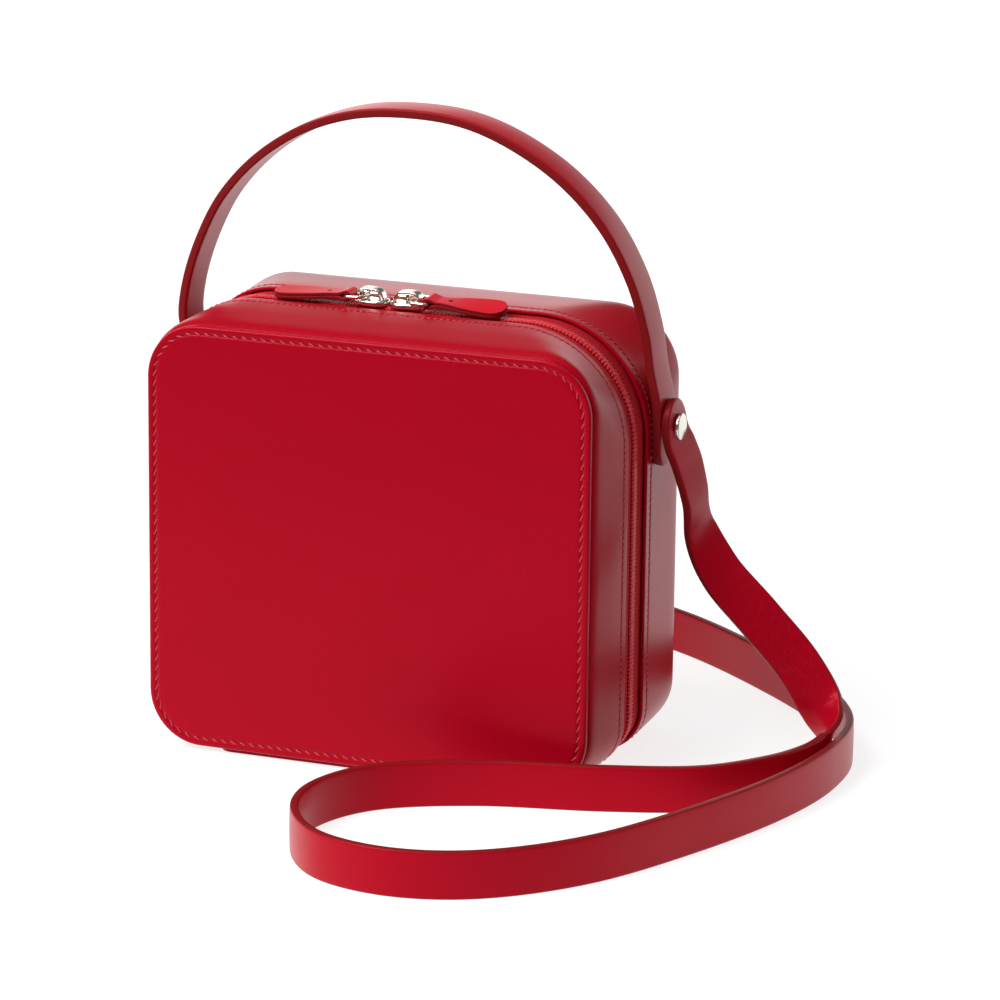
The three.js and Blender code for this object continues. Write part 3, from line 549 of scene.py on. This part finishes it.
# Zip. Two woven tapes lie under the leather's edges and meet in the middle, where the nylon teeth
# of the coil are sewn onto them round a core.
tape_inset = 1.6 * mm
tape_thick = 1.0 * mm
coil_half = 3.0 * mm
tape_meet = 0.1 * mm
tape_lip = 3.1 * mm
tape_start = 3.3 * mm
tape_end = 14.3 * mm
tape_dip = 0.7 * mm
tape_sag = 0.35 * mm
tape_step = 0.3 * mm
tape_back_skip = 15
zip_end_turn = 82
rib_pitch = 1.25 * mm
rib_height = 0.16 * mm
rib_turn_back = 1.5 * mm
fibres_per_metre = 1800.0
tooth_pitch = 1.55 * mm
tooth_wire = 0.95 * mm
tooth_slant = 0.35 * mm
tooth_drop = 0.5 * mm
coil_rise = 0.75 * mm
cord_step = 1.2 * mm
cord_half_high = 0.50 * mm
cord_lift = 0.10 * mm
coil_specks_per_metre = 900.0
tape_red = (0.66, 0.030, 0.042, 1)
tape_shadow = (0.30, 0.002, 0.008, 1)
nylon_red = (0.62, 0.016, 0.028, 1)

tape_cloth, tape_shader, tape_wire = new_finish("zip_tape_cloth", Roughness=0.72, Specular_IOR_Level=0.06)
rib_shade = tape_wire.node("ShaderNodeAttribute", {}, {"attribute_name": "rib"}, "Fac")
fibre = tape_wire.node("ShaderNodeTexNoise", {
    "Vector": tape_wire.node("ShaderNodeTexCoord", {}, output="Object"),
    "Scale": fibres_per_metre, "Detail": 2.0})
(rib_shade * 0.8 + fibre * 0.4 - 0.1).blend(tape_shadow, tape_red).feed(tape_shader, "Base Color")
coil_nylon, coil_shader, coil_wire = new_finish("zip_nylon", Roughness=0.34, Specular_IOR_Level=0.14)
coil_tone = coil_wire.node("ShaderNodeTexNoise", {
    "Vector": coil_wire.node("ShaderNodeTexCoord", {}, output="Object"),
    "Scale": coil_specks_per_metre, "Detail": 1.0})
coil_tone.blend(nylon_red, tape_red).feed(coil_shader, "Base Color")

zip_ring = skin_rings(np.full(1, zip_middle), np.full(1, tape_inset))[0]
ring_far = np.concatenate([[0], np.cumsum(np.linalg.norm(np.diff(zip_ring, axis=0), axis=1))])
first_turn, last_turn = np.radians([-zip_end_turn, 180 + zip_end_turn])
last_arc = 3 * (corner_points + side_points) + corner_points
zip_from, zip_to = np.interp([first_turn, last_turn], outline_angles[:last_arc], ring_far[:last_arc])


def zip_frames(places):
    """Points on the zip's middle line and its outward directions, at distances along it."""
    at = np.stack([np.interp(places, ring_far, zip_ring[:, k]) for k in range(3)], axis=-1)
    turn = np.interp(places, ring_far[:last_arc], outline_angles[:last_arc])
    return at, np.stack([np.cos(turn), np.zeros(len(places)), np.sin(turn)], axis=-1)


def zip_tape(name, side):
    """A flat woven strip: its top stands up in slanting ribs that turn back halfway across, and on the
    body's side it sags to the leather's edge. It dips under the coil, where it meets the other tape.
    Its bottom is flat and closes it."""
    places = np.arange(zip_from, zip_to, tape_step)
    at, outward = zip_frames(places)
    offset = np.concatenate([np.linspace(tape_meet, tape_lip, 6), np.linspace(tape_start, tape_end, 40)])
    herringbone = np.abs(offset - (tape_start + tape_end) / 2 + rib_turn_back)
    rib = 0.5 + 0.5 * np.cos(2 * np.pi * (places[:, None] + 0.9 * herringbone[None]) / rib_pitch)
    rib = rib * (0.75 + 0.25 * np.cos(2 * np.pi * offset / (0.62 * rib_pitch)))[None]
    sag = np.clip((offset - tape_start) / (zip_mouth / 2 - tape_start), 0, 1) ** 2 * tape_sag * (side > 0)
    dip = (offset < tape_start) * tape_dip
    under = np.clip((offset - zip_mouth / 2 + 0.3 * mm) / (0.8 * mm), 0, 1)
    top = (rib - 0.5) * rib_height * (1 - under)[None] - (sag + dip)[None]
    back = np.broadcast_to(-tape_thick - sag, top.shape)[:, ::-tape_back_skip]
    height = np.concatenate([top, back], axis=1)
    across = np.concatenate([offset, offset[::-tape_back_skip]]) * side
    points = (at[:, None] + height[..., None] * outward[:, None]
              + across[None, :, None] * np.array([0.0, 1.0, 0.0]))
    points = np.concatenate([points[:1].mean(axis=1, keepdims=True).repeat(points.shape[1], 1), points,
                             points[-1:].mean(axis=1, keepdims=True).repeat(points.shape[1], 1)])
    shade = np.pad(rib, ((1, 1), (0, back.shape[1])))
    piece = make_piece(name, points, grid_faces(*points.shape[:2], around=True), tape_cloth,
                       masks={"rib": shade})
    weld(piece)
    return piece


fit(zip_tape("zip_tape_cloth_front", -1), "zip_tape", "zip_tape_front")
fit(zip_tape("zip_tape_cloth_rear", 1), "zip_tape", "zip_tape_rear")


def copies(name, local, frames, finish, around=True):
    """Many small copies of one grid of points: each is laid in a frame of its own, whose four arrays
    are its centres and its three directions."""
    centre, first, second, third = (part[:, None, None] for part in frames)
    along, across, up = (local[None, ..., k:k + 1] for k in range(3))
    points = centre + along * first + across * second + up * third
    rows, columns = local.shape[:2]
    one = grid_faces(rows, columns, around=around)
    faces = (one[None] + np.arange(len(frames[0]))[:, None, None] * rows * columns).reshape(-1, 4)
    piece = make_piece(name, points, faces, finish)
    weld(piece)
    return piece


tooth_s = np.linspace(-1, 1, 9)[:, None]
tooth_a = np.linspace(0, 2 * np.pi, 6, endpoint=False)[None, :]
tooth_radius = tooth_wire / 2 * np.sqrt(np.maximum(1 - tooth_s ** 6, 0))
tooth_rise = coil_rise - tooth_drop * np.maximum(tooth_s, 0) ** 4
tooth = np.stack(np.broadcast_arrays(
    tooth_radius * np.cos(tooth_a) + tooth_slant * tooth_s, coil_half * (0.42 + 0.56 * tooth_s),
    tooth_rise - tooth_wire / 2 + tooth_radius * np.sin(tooth_a)), axis=-1)
for name, side in (("front", -1), ("rear", 1)):
    places = np.arange(zip_from, zip_to, tooth_pitch) + (side > 0) * tooth_pitch / 2
    places = places[places < zip_to]
    at, outward = zip_frames(places)
    across = np.tile([0.0, side, 0.0], (len(places), 1))
    frames = (at, side * np.cross(across, outward), across, outward)
    fit(copies(f"zip_teeth_{name}", tooth, frames, coil_nylon), "zip_nylon")

cord_places = np.arange(zip_from, zip_to, cord_step)
cord_at, cord_outward = zip_frames(cord_places)
cord_turn = np.linspace(0, 2 * np.pi, 8, endpoint=False)
cord_high = (cord_lift + cord_half_high * np.sin(cord_turn))[None, :, None]
cord_points = (cord_at[:, None] + cord_high * cord_outward[:, None]
               + (coil_half * 0.8 * np.cos(cord_turn))[None, :, None] * np.array([0.0, 1.0, 0.0]))
cord_points = np.concatenate([cord_at[:1, None].repeat(8, 1), cord_points, cord_at[-1:, None].repeat(8, 1)])
coil_core = make_piece("zip_coil_core", cord_points, grid_faces(*cord_points.shape[:2], around=True),
                       coil_nylon)
weld(coil_core)
fit(coil_core, "zip_nylon", "zip_coil")

# Sliders. Two cast nickel-plated zinc sliders meet nose to nose on top of the bag: each has a domed
# plate over the coil, a raised crown in the middle of it, and a bridge that carries the bail.
slider_length = 13.4 * mm
slider_half = 5.0 * mm
slider_nose_gap = 0.4 * mm
slider_meet = -9 * mm
slider_seat = 170.5 * mm
eye_back = 9.38 * mm
eye_height = 3.25 * mm
bridge_wide = np.array([3.4, 4.6, 5.4, 4.0]) * mm
bridge_thick = 1.3 * mm
bridge_soften = 0.5 * mm
bridge_crown = 0.2 * mm
scuffs_per_metre = 700.0
nickel_colour = (0.78, 0.74, 0.66, 1)

nickel, nickel_shader, nickel_wire = new_finish("nickel", Base_Color=nickel_colour, Metallic=1.0)
wear = nickel_wire.node("ShaderNodeTexNoise", {
    "Vector": nickel_wire.node("ShaderNodeTexCoord", {}, output="Object"),
    "Scale": scuffs_per_metre, "Detail": 2.0})
(wear * 0.12 + 0.10).feed(nickel_shader, "Roughness")


def rounded(points, times):
    """A closed outline with its corners cut over and over: each side keeps its middle half."""
    for _ in range(times):
        after = np.roll(points, -1, axis=0)
        cut = [0.75 * points + 0.25 * after, 0.25 * points + 0.75 * after]
        points = np.stack(cut, axis=1).reshape(-1, 2)
    return points


def plate_points(shape, profile):
    """Rings of a flat outline: each row of the profile gives how far the ring is drawn in along the
    outline's own normals, and its height. The first and last ring close to a point."""
    ahead = np.roll(shape, -1, axis=0) - np.roll(shape, 1, axis=0)
    normal = np.stack([ahead[:, 1], -ahead[:, 0]], axis=-1)
    normal /= np.linalg.norm(normal, axis=1, keepdims=True)
    flat = shape[None] - profile[:, :1, None] * normal[None]
    rings = np.concatenate([flat, np.broadcast_to(profile[:, 1, None, None], (*flat.shape[:2], 1))], axis=-1)
    return np.concatenate([rings[:1].mean(axis=1, keepdims=True).repeat(len(shape), 1), rings,
                           rings[-1:].mean(axis=1, keepdims=True).repeat(len(shape), 1)])


def slider_axes(side):
    """Turns points from a slider's own axes (its nose towards +X) to its place: side -1 is the left one."""
    place = np.array([slider_meet + side * slider_nose_gap, zip_middle, slider_seat])
    return np.diag([-side, -side, 1.0]), place


def strip_points(route, across, width, thick, soften, crown):
    """A strip of leather along a route: at each point its section is a rectangle as wide as width
    says there, with quarter-round edges and a slightly crowned face, square to the route.
    Also gives the surface's own coordinates and a mask that is 1 on the edges."""
    along = np.gradient(route, axis=0)
    along /= np.linalg.norm(along, axis=1, keepdims=True)
    across = across - along * np.einsum("ij,ij->i", across, along)[:, None]
    across /= np.linalg.norm(across, axis=1, keepdims=True)
    out = np.cross(along, across)
    far = np.concatenate([[0], np.cumsum(np.linalg.norm(np.diff(route, axis=0), axis=1))])
    from_end = np.minimum(far, far[-1] - far)
    nose = np.sqrt(np.clip(1 - (1 - np.clip(from_end / soften, 0, 1)) ** 2, 0.15, 1))
    radius = np.minimum(soften, width / 2)[:, None]
    flat = width[:, None] / 2 - radius
    tall = (thick / 2 * nose)[:, None]
    corner = np.linspace(0, 90, 5)
    face = np.linspace(1, -1, 13)[None, 1:-1]
    parts, masks = [], []
    for start, side_u, side_v in ((0, 1, 1), (90, -1, 1), (180, -1, -1), (270, 1, -1)):
        turn = np.radians(start + corner)[None]
        parts.append((side_u * flat + radius * np.cos(turn),
                      side_v * (tall - radius) + radius * np.sin(turn)))
        masks.append(np.where(side_v * np.sin(turn) > 0.85, 0.0, 1.0) + 0 * radius)
        if start in (0, 180):
            bow = crown * (1 - face ** 2) if start == 0 else 0 * face
            parts.append((side_u * flat * face, side_v * tall + bow * nose[:, None]))
            masks.append(0 * flat * face)
    u, v = (np.concatenate([np.broadcast_to(part[k], (len(route), part[k].shape[1])) for part in parts],
                           axis=1) for k in (0, 1))
    mask = np.maximum(np.concatenate(masks, axis=1), (from_end < soften * 0.7)[:, None])
    points = route[:, None] + u[..., None] * across[:, None] + v[..., None] * out[:, None]
    surface = np.stack([np.broadcast_to(far[:, None], u.shape), u], axis=-1)
    return points, surface, mask


def strip_piece(name, strip, finish, creased=0.0):
    """A piece from strip_points: its rings close round the section, and its end rings to lines. The
    leather is wrinkled where creased is 1."""
    points, surface, mask = strip
    crease = np.broadcast_to(np.reshape(creased, (-1, 1)), mask.shape)
    piece = make_piece(name, points, grid_faces(*points.shape[:2], around=True), finish, uv=surface,
                       masks={"edge": mask, "crease": crease})
    weld(piece)
    return piece


slider_rows = np.array([
    (-1.00, 0.62), (-0.93, 0.80), (-0.60, 0.86), (-0.30, 1.00), (-0.10, 0.78), (0.00, 0.36)])
slider_sides = slider_rows * [slider_length, slider_half]
slider_shape = rounded(np.vstack([slider_sides * [1, -1], slider_sides[::-1]]), 3)
slider_profile = np.array([(0.5, 0.0), (0.12, 0.12), (0.0, 0.45), (0.0, 1.35), (0.12, 1.75), (0.45, 2.02),
                           (1.1, 2.18), (2.2, 2.26)]) * mm
bridge_path = np.array([(-1.9, 1.5), (-2.3, 3.4), (-3.6, 5.2), (-6.0, 5.8), (-9.4, 5.8), (-11.2, 5.1),
                        (-12.0, 3.4), (-12.2, 1.5)]) * mm
crown_sides = np.array([(-7.8, 1.6), (-7.0, 2.3), (-3.2, 2.3), (-2.2, 1.5)]) * mm
crown_shape = rounded(np.vstack([crown_sides * [1, -1], crown_sides[::-1]]), 3)
crown_profile = np.array([(0.0, 1.8), (0.0, 4.4), (0.15, 4.8), (0.5, 5.1), (1.0, 5.2)]) * mm
for name, side in (("left", -1), ("right", 1)):
    axes, origin = slider_axes(side)
    crown = plate_points(crown_shape, crown_profile) @ axes.T + origin
    crown_faces = grid_faces(*crown.shape[:2], around=True)
    crown_piece = make_piece(f"slider_{name}_crown", crown, crown_faces, nickel)
    weld(crown_piece)
    fit(crown_piece, "nickel")
    plate = plate_points(slider_shape, slider_profile) @ axes.T + origin
    body = make_piece(f"slider_{name}_plate", plate, grid_faces(*plate.shape[:2], around=True), nickel)
    weld(body)
    fit(body, "nickel", f"slider_{name}")
    path = smooth_rows(np.column_stack([bridge_path[:, 0], 0 * bridge_path[:, 0], bridge_path[:, 1]]), 6)
    width = np.interp(np.linspace(0, 1, len(path)), [0, 0.25, 0.8, 1], bridge_wide)
    points, surface, mask = strip_points(path @ axes.T + origin, np.tile(axes[:, 1], (len(path), 1)), width,
                                         bridge_thick, bridge_soften, bridge_crown)
    fit(strip_piece(f"slider_{name}_bridge", (points, surface, 0 * mask), nickel), "nickel")

# Bails and pull tabs. A wire bail hangs in each slider's bridge, and a strip of calf is folded round
# it, glued, trimmed to a paddle and punched with a small hole. The hole is not cut: a near-black disc
# just above the tab's face is painted shade for it.
bail_wire = 1.5 * mm
bail_reach = 6.9 * mm
bail_corner = 1.6 * mm
bail_play = 1.05 * mm
bail_points_round = 14
tab_length = 30.4 * mm
tab_half = 5.8 * mm
tab_neck_half = 4.2 * mm
tab_leather = 1.2 * mm
tab_fold = 1.6 * mm
tab_glue = 0.02 * mm
tab_soften = 0.32 * mm
tab_fold_back = 3.2 * mm
tab_eye = 0.95 * mm
tab_eye_back = 8 * mm
tab_blade_points = 90
# Painted light: the tabs' calf is dyed lighter than the case's, for the light on their top faces.
tab_lit_red = (0.62, 0.010, 0.026, 1)
tab_lit_deep = (0.52, 0.006, 0.018, 1)
tab_droop = {"left": np.radians(2.9), "right": np.radians(1.6)}
tab_roll = {"left": 0.0, "right": np.radians(4)}
tab_twist = {"left": 5, "right": 12}
# Painted shade: a flat near-black finish for the disc that stands for each tab's hole.
hole_shade_finish, _, _ = new_finish("hole_shade_disc", Base_Color=hole_shade_dark, Roughness=0.8, Specular_IOR_Level=0.1)
tab_lit_calf = leather("tab_lit_calf", tab_lit_red, tab_lit_deep, 0.34, 0.5)

# A pull tab from its far end to its fold: shares of its length and width, and of its whole twist.
tab_rows = np.array([
    (-1.000, 0.08, 1.00), (-0.996, 0.24, 1.00), (-0.985, 0.42, 1.00), (-0.960, 0.64, 1.00),
    (-0.920, 0.84, 0.98), (-0.860, 0.96, 0.94), (-0.780, 1.00, 0.86), (-0.600, 0.98, 0.66),
    (-0.420, 0.93, 0.38), (-0.300, 0.80, 0.16), (-0.200, 0.72, 0.04), (-0.100, 0.724, 0.00),
    (0.000, 0.724, 0.00)])


def hinge_axes(name, side):
    """Turns points from a bail's own axes to their place: drooping, and rolled forward on the right."""
    cos_d, sin_d = np.cos(tab_droop[name]), np.sin(tab_droop[name])
    cos_r, sin_r = np.cos(tab_roll[name]), np.sin(tab_roll[name])
    droop = np.array([[cos_d, 0, -sin_d], [0, 1, 0], [sin_d, 0, cos_d]])
    roll = np.array([[1, 0, 0], [0, cos_r, sin_r], [0, -sin_r, cos_r]])
    axes, origin = slider_axes(side)
    return axes @ roll @ droop, origin + axes @ np.array([-eye_back, 0.0, eye_height])


bail_half = tab_neck_half + bail_play
bail_shape = outline(bail_reach / 2, -bail_half, bail_half, [bail_corner] * 4, 0.0)[0] - [bail_reach / 2, 0]
bail_ahead = np.roll(bail_shape, -1, axis=0) - np.roll(bail_shape, 1, axis=0)
bail_out = np.stack([bail_ahead[:, 1], -bail_ahead[:, 0]], axis=-1)
bail_out /= np.linalg.norm(bail_out, axis=1, keepdims=True)
bail_turn = np.linspace(0, 2 * np.pi, bail_points_round, endpoint=False)[None, :, None]
bail_points = np.concatenate([
    bail_shape[:, None] + bail_out[:, None] * (bail_wire / 2 * np.cos(bail_turn)),
    np.broadcast_to(bail_wire / 2 * np.sin(bail_turn), (len(bail_shape), bail_points_round, 1))], axis=-1)

fold_turn = np.radians(np.linspace(118, -118, 17))
fold_curve = np.stack([tab_fold * np.cos(fold_turn), tab_fold * np.sin(fold_turn)], axis=-1)
blade_places = -tab_length + (tab_length - tab_fold_back) * np.linspace(0, 1, tab_blade_points) ** 1.8
blade = np.stack([blade_places, np.full(tab_blade_points, tab_leather / 2 + tab_glue)], axis=-1)
fold_path = np.vstack([blade, fold_curve, blade[::-1] * [1, -1]])
for name, side in (("left", -1), ("right", 1)):
    axes, origin = hinge_axes(name, side)
    wire_points = bail_points @ axes.T + origin
    bail = make_piece(f"bail_{name}_wire", wire_points, grid_faces(*wire_points.shape[:2], True, True),
                      nickel)
    fit(bail, "nickel", f"bail_{name}")
    share = fold_path[:, 0] / tab_length
    width = 2 * tab_half * np.interp(share, tab_rows[:, 0], tab_rows[:, 1])
    twist = -side * np.radians(tab_twist[name]) * np.interp(share, tab_rows[:, 0], tab_rows[:, 2])
    path = np.column_stack([fold_path[:, 0], -np.sin(twist) * fold_path[:, 1],
                            np.cos(twist) * fold_path[:, 1]])
    level_line = np.column_stack([0 * twist, np.cos(twist), np.sin(twist)])
    tab_place = origin + axes @ np.array([-bail_reach, 0.0, 0.0])
    tab = strip_points(path @ axes.T + tab_place, level_line @ axes.T, width, tab_leather, tab_soften, 0.0)
    fit(strip_piece(f"pull_tab_{name}_leather", tab, tab_lit_calf), "red_calf", f"pull_tab_{name}")
    # The tab's hole: a dark disc just above its face, painted shade in place of a real hole.
    around = np.linspace(0, 2 * np.pi, 24, endpoint=False)[None, :]
    radius = np.array([1.0, 0.9, 0.4, 0.0])[:, None] * tab_eye
    rise = tab_leather + np.array([0.02, 0.05, 0.03, 0.02])[:, None] * mm
    eye = np.stack(np.broadcast_arrays(
        radius * np.cos(around) - tab_eye_back, radius * np.sin(around), rise), -1) @ axes.T + tab_place
    hole_shade = make_piece(f"pull_tab_{name}_hole", eye, grid_faces(*eye.shape[:2], around=True), hole_shade_finish)
    weld(hole_shade)
    fit(hole_shade, "red_calf")

# Handle. A strip of bridle-thick calf, its edges rounded, dyed dark and polished, arches over the bag
# from one screw stud to the other.
handle_width = 17.4 * mm
handle_thick = 3.4 * mm
handle_rise = 114 * mm
handle_tail = 15.5 * mm
handle_slump = -5.5 * mm
handle_lean = 0.07
handle_x = 93.4 * mm
stud_height = 129 * mm
stud_back = 19.5 * mm
strip_soften = 0.8 * mm
strip_step = 1.0 * mm
handle_crown = 0.25 * mm
strap_red = (0.43, 0.0016, 0.0145, 1)
strap_deep = (0.39, 0.0010, 0.0100, 1)

# The handle's middle line from the right stud to the left one: a share of half the distance between
# the studs, of the rise above them, and of the sideways slump.
handle_rows = np.array([
    (1.000, 0.000, 0.00), (1.000, 0.090, 0.02), (1.010, 0.200, 0.62), (1.010, 0.330, 1.00),
    (0.948, 0.500, 1.00), (0.832, 0.670, 1.00), (0.660, 0.815, 1.00), (0.450, 0.922, 1.00),
    (0.235, 0.984, 1.00), (0.000, 1.000, 1.00),
    (-0.235, 0.982, 1.00), (-0.460, 0.918, 1.00), (-0.665, 0.808, 1.00), (-0.828, 0.665, 1.00),
    (-0.938, 0.500, 1.00), (-1.005, 0.340, 1.00), (-1.032, 0.210, 0.80), (-1.006, 0.134, 0.08),
    (-1.001, 0.080, 0.00), (-1.000, 0.000, 0.00)])
handle_calf = leather("strap_calf", strap_red, strap_deep, 0.27, 0.45)


def even_route(rows, step, radius):
    """A smooth curve through rows whose first three numbers are a point, sampled at even steps and
    closer in its round ends, where the distances grow as 1 - cos does."""
    curve = smooth_rows(rows, 24)
    far = np.concatenate([[0], np.cumsum(np.linalg.norm(np.diff(curve[:, :3], axis=0), axis=1))])
    ends = radius * (1 - np.cos(np.linspace(0, np.pi / 2, 12)))
    places = np.concatenate([ends, np.arange(radius, far[-1] - radius, step)[1:], far[-1] - ends[::-1]])
    route = np.stack([np.interp(places, far, curve[:, k]) for k in range(rows.shape[1])], axis=-1)
    return route, places, far[-1]


def round_ended(places, total, width):
    """The width along a strip whose ends are half circles."""
    from_end = np.clip(np.minimum(places, total - places) / (width / 2), 0, 1)
    return width * np.sqrt(np.clip(1 - (1 - from_end) ** 2, 0, 1))


up = handle_rows[:, 1] * handle_rise
handle_points = np.column_stack([handle_rows[:, 0] * handle_x + handle_rows[:, 2] * handle_slump,
                                 stud_back - up * handle_lean, stud_height + up])
tails = np.array([[side * handle_x, stud_back, stud_height - handle_tail] for side in (1, -1)])
handle_route, places, total = even_route(
    np.vstack([tails[:1], handle_points, tails[1:]]), strip_step, handle_width / 2)
handle_across = np.tile([0.0, -1.0, 0.0], (len(handle_route), 1))
handle = strip_piece("handle_leather", strip_points(
    handle_route, handle_across, round_ended(places, total, handle_width), handle_thick, strip_soften,
    handle_crown), handle_calf)
fit(handle, "red_calf", "handle")

# Shoulder strap. One long strip of the same calf: it hangs from the right stud, turns onto its edge
# and lies in a loop before the bag, passes behind it and comes up to the left stud.
strap_width = 17.6 * mm
strap_thick = 3.2 * mm
strap_tail = 10.8 * mm
strap_x = 97.0 * mm
strap_turn = 6
strap_crown = 0.15 * mm
crease_at, crease_reach = 106 * mm, 28 * mm

# The strap's middle line: shares of half the distance between the studs, of the case's depth and of
# the stud's height above the height at which the strap lies on its edge, then the degrees that its
# width leans up from level and turns out from the case.
strap_rows = np.array([
    (1.031, 0.199, 0.947, 0, 15), (1.062, 0.204, 0.884, 4, 13), (1.090, 0.216, 0.790, 17, 6),
    (1.118, 0.212, 0.676, 36, 0), (1.218, 0.184, 0.545, 52, 0), (1.378, 0.182, 0.414, 67, 0),
    (1.535, 0.206, 0.268, 76, 0), (1.640, 0.202, 0.132, 82, 0), (1.684, 0.135, 0.028, 88, 0),
    (1.650, -0.020, 0, 90, 0), (1.557, -0.214, 0, 90, 0), (1.351, -0.434, 0, 90, 0),
    (1.000, -0.574, 0, 90, 0), (0.557, -0.690, 0, 90, 0), (0.216, -0.883, 0, 90, 0),
    (0.077, -1.163, 0, 90, 0), (0.124, -1.454, 0, 90, 0), (0.325, -1.684, 0, 90, 0),
    (0.640, -1.750, 0, 90, 0), (0.960, -1.636, 0, 90, 0), (1.258, -1.332, 0, 90, 0),
    (1.498, -0.864, 0, 90, 0), (1.668, -0.398, 0, 90, 0), (1.738, 0.020, 0, 90, 0),
    (1.688, 0.408, 0, 90, 0), (1.440, 0.796, 0, 90, 0), (1.010, 1.209, 0, 90, 0),
    (0.577, 1.530, 0, 90, 0), (0.103, 1.735, 0, 90, 0), (-0.412, 1.700, 0, 90, 0),
    (-0.866, 1.430, 0, 90, 0), (-1.165, 1.050, 0.004, 88, 0),
    (-1.275, 0.690, 0.120, 76, 0), (-1.240, 0.400, 0.400, 50, 0), (-1.128, 0.240, 0.700, 22, -4),
    (-1.062, 0.206, 0.880, 5, -12), (-1.031, 0.199, 0.946, 0, -15)])

lying = strap_width / 2
strap_knots = np.column_stack([strap_rows[:, 0] * strap_x, strap_rows[:, 1] * case_depth,
                               lying + strap_rows[:, 2] * (stud_height - lying), strap_rows[:, 3:]])


def held_end(side, above, turn):
    """A row for the strap at a stud: its width level and turned out by some degrees."""
    out = strap_x + lying * np.sin(np.radians(turn))
    return [side * out, stud_back, stud_height + above, 0, side * turn]


strap_route, places, total = even_route(np.vstack([
    [held_end(1, strap_tail, 0), held_end(1, 0, strap_turn)], strap_knots,
    [held_end(-1, 0, strap_turn), held_end(-1, strap_tail, 0)]]), strip_step, lying)
strap_route[:, 2] = np.maximum(strap_route[:, 2], lying)
lean, turn = np.radians(strap_route[:, 3:]).T
strap_across = np.stack([np.cos(lean) * np.sin(turn), np.cos(lean) * np.cos(turn), np.sin(lean)], axis=-1)
strap = strip_piece("shoulder_strap_leather", strip_points(
    strap_route[:, :3], strap_across, round_ended(places, total, strap_width), strap_thick, strip_soften,
    strap_crown), handle_calf, creased=np.exp(-((places - crease_at) / crease_reach) ** 2))
fit(strap, "red_calf", "shoulder_strap")

# Screw studs. On each side a turned nickel-plated cap on a shank clamps strap, handle and gusset
# together. Its rim is rounded, and its face is flat and polished.
cap_face = 101.1 * mm
cap_profile = np.array([
    (0.0, -12.0), (2.4, -12.0), (2.4, -2.0), (3.6, -1.9), (4.9, -1.8), (5.12, -1.68), (5.2, -1.4),
    (5.2, -0.45), (5.12, -0.2), (4.9, -0.05), (4.6, 0.0), (0.0, 0.0)]) * mm
cap_sides = 48
for name, side in (("right", 1), ("left", -1)):
    around = np.linspace(0, 2 * np.pi, cap_sides, endpoint=False)[None, :]
    radius, reach = cap_profile[:, :1], cap_profile[:, 1:]
    points = np.stack(np.broadcast_arrays(side * (cap_face + reach), stud_back + radius * np.cos(around),
                                          stud_height + radius * np.sin(around)), axis=-1)
    stud = make_piece(f"screw_stud_{name}_cap", points, grid_faces(*points.shape[:2], around=True), nickel)
    weld(stud)
    fit(stud, "nickel", f"screw_stud_{name}")
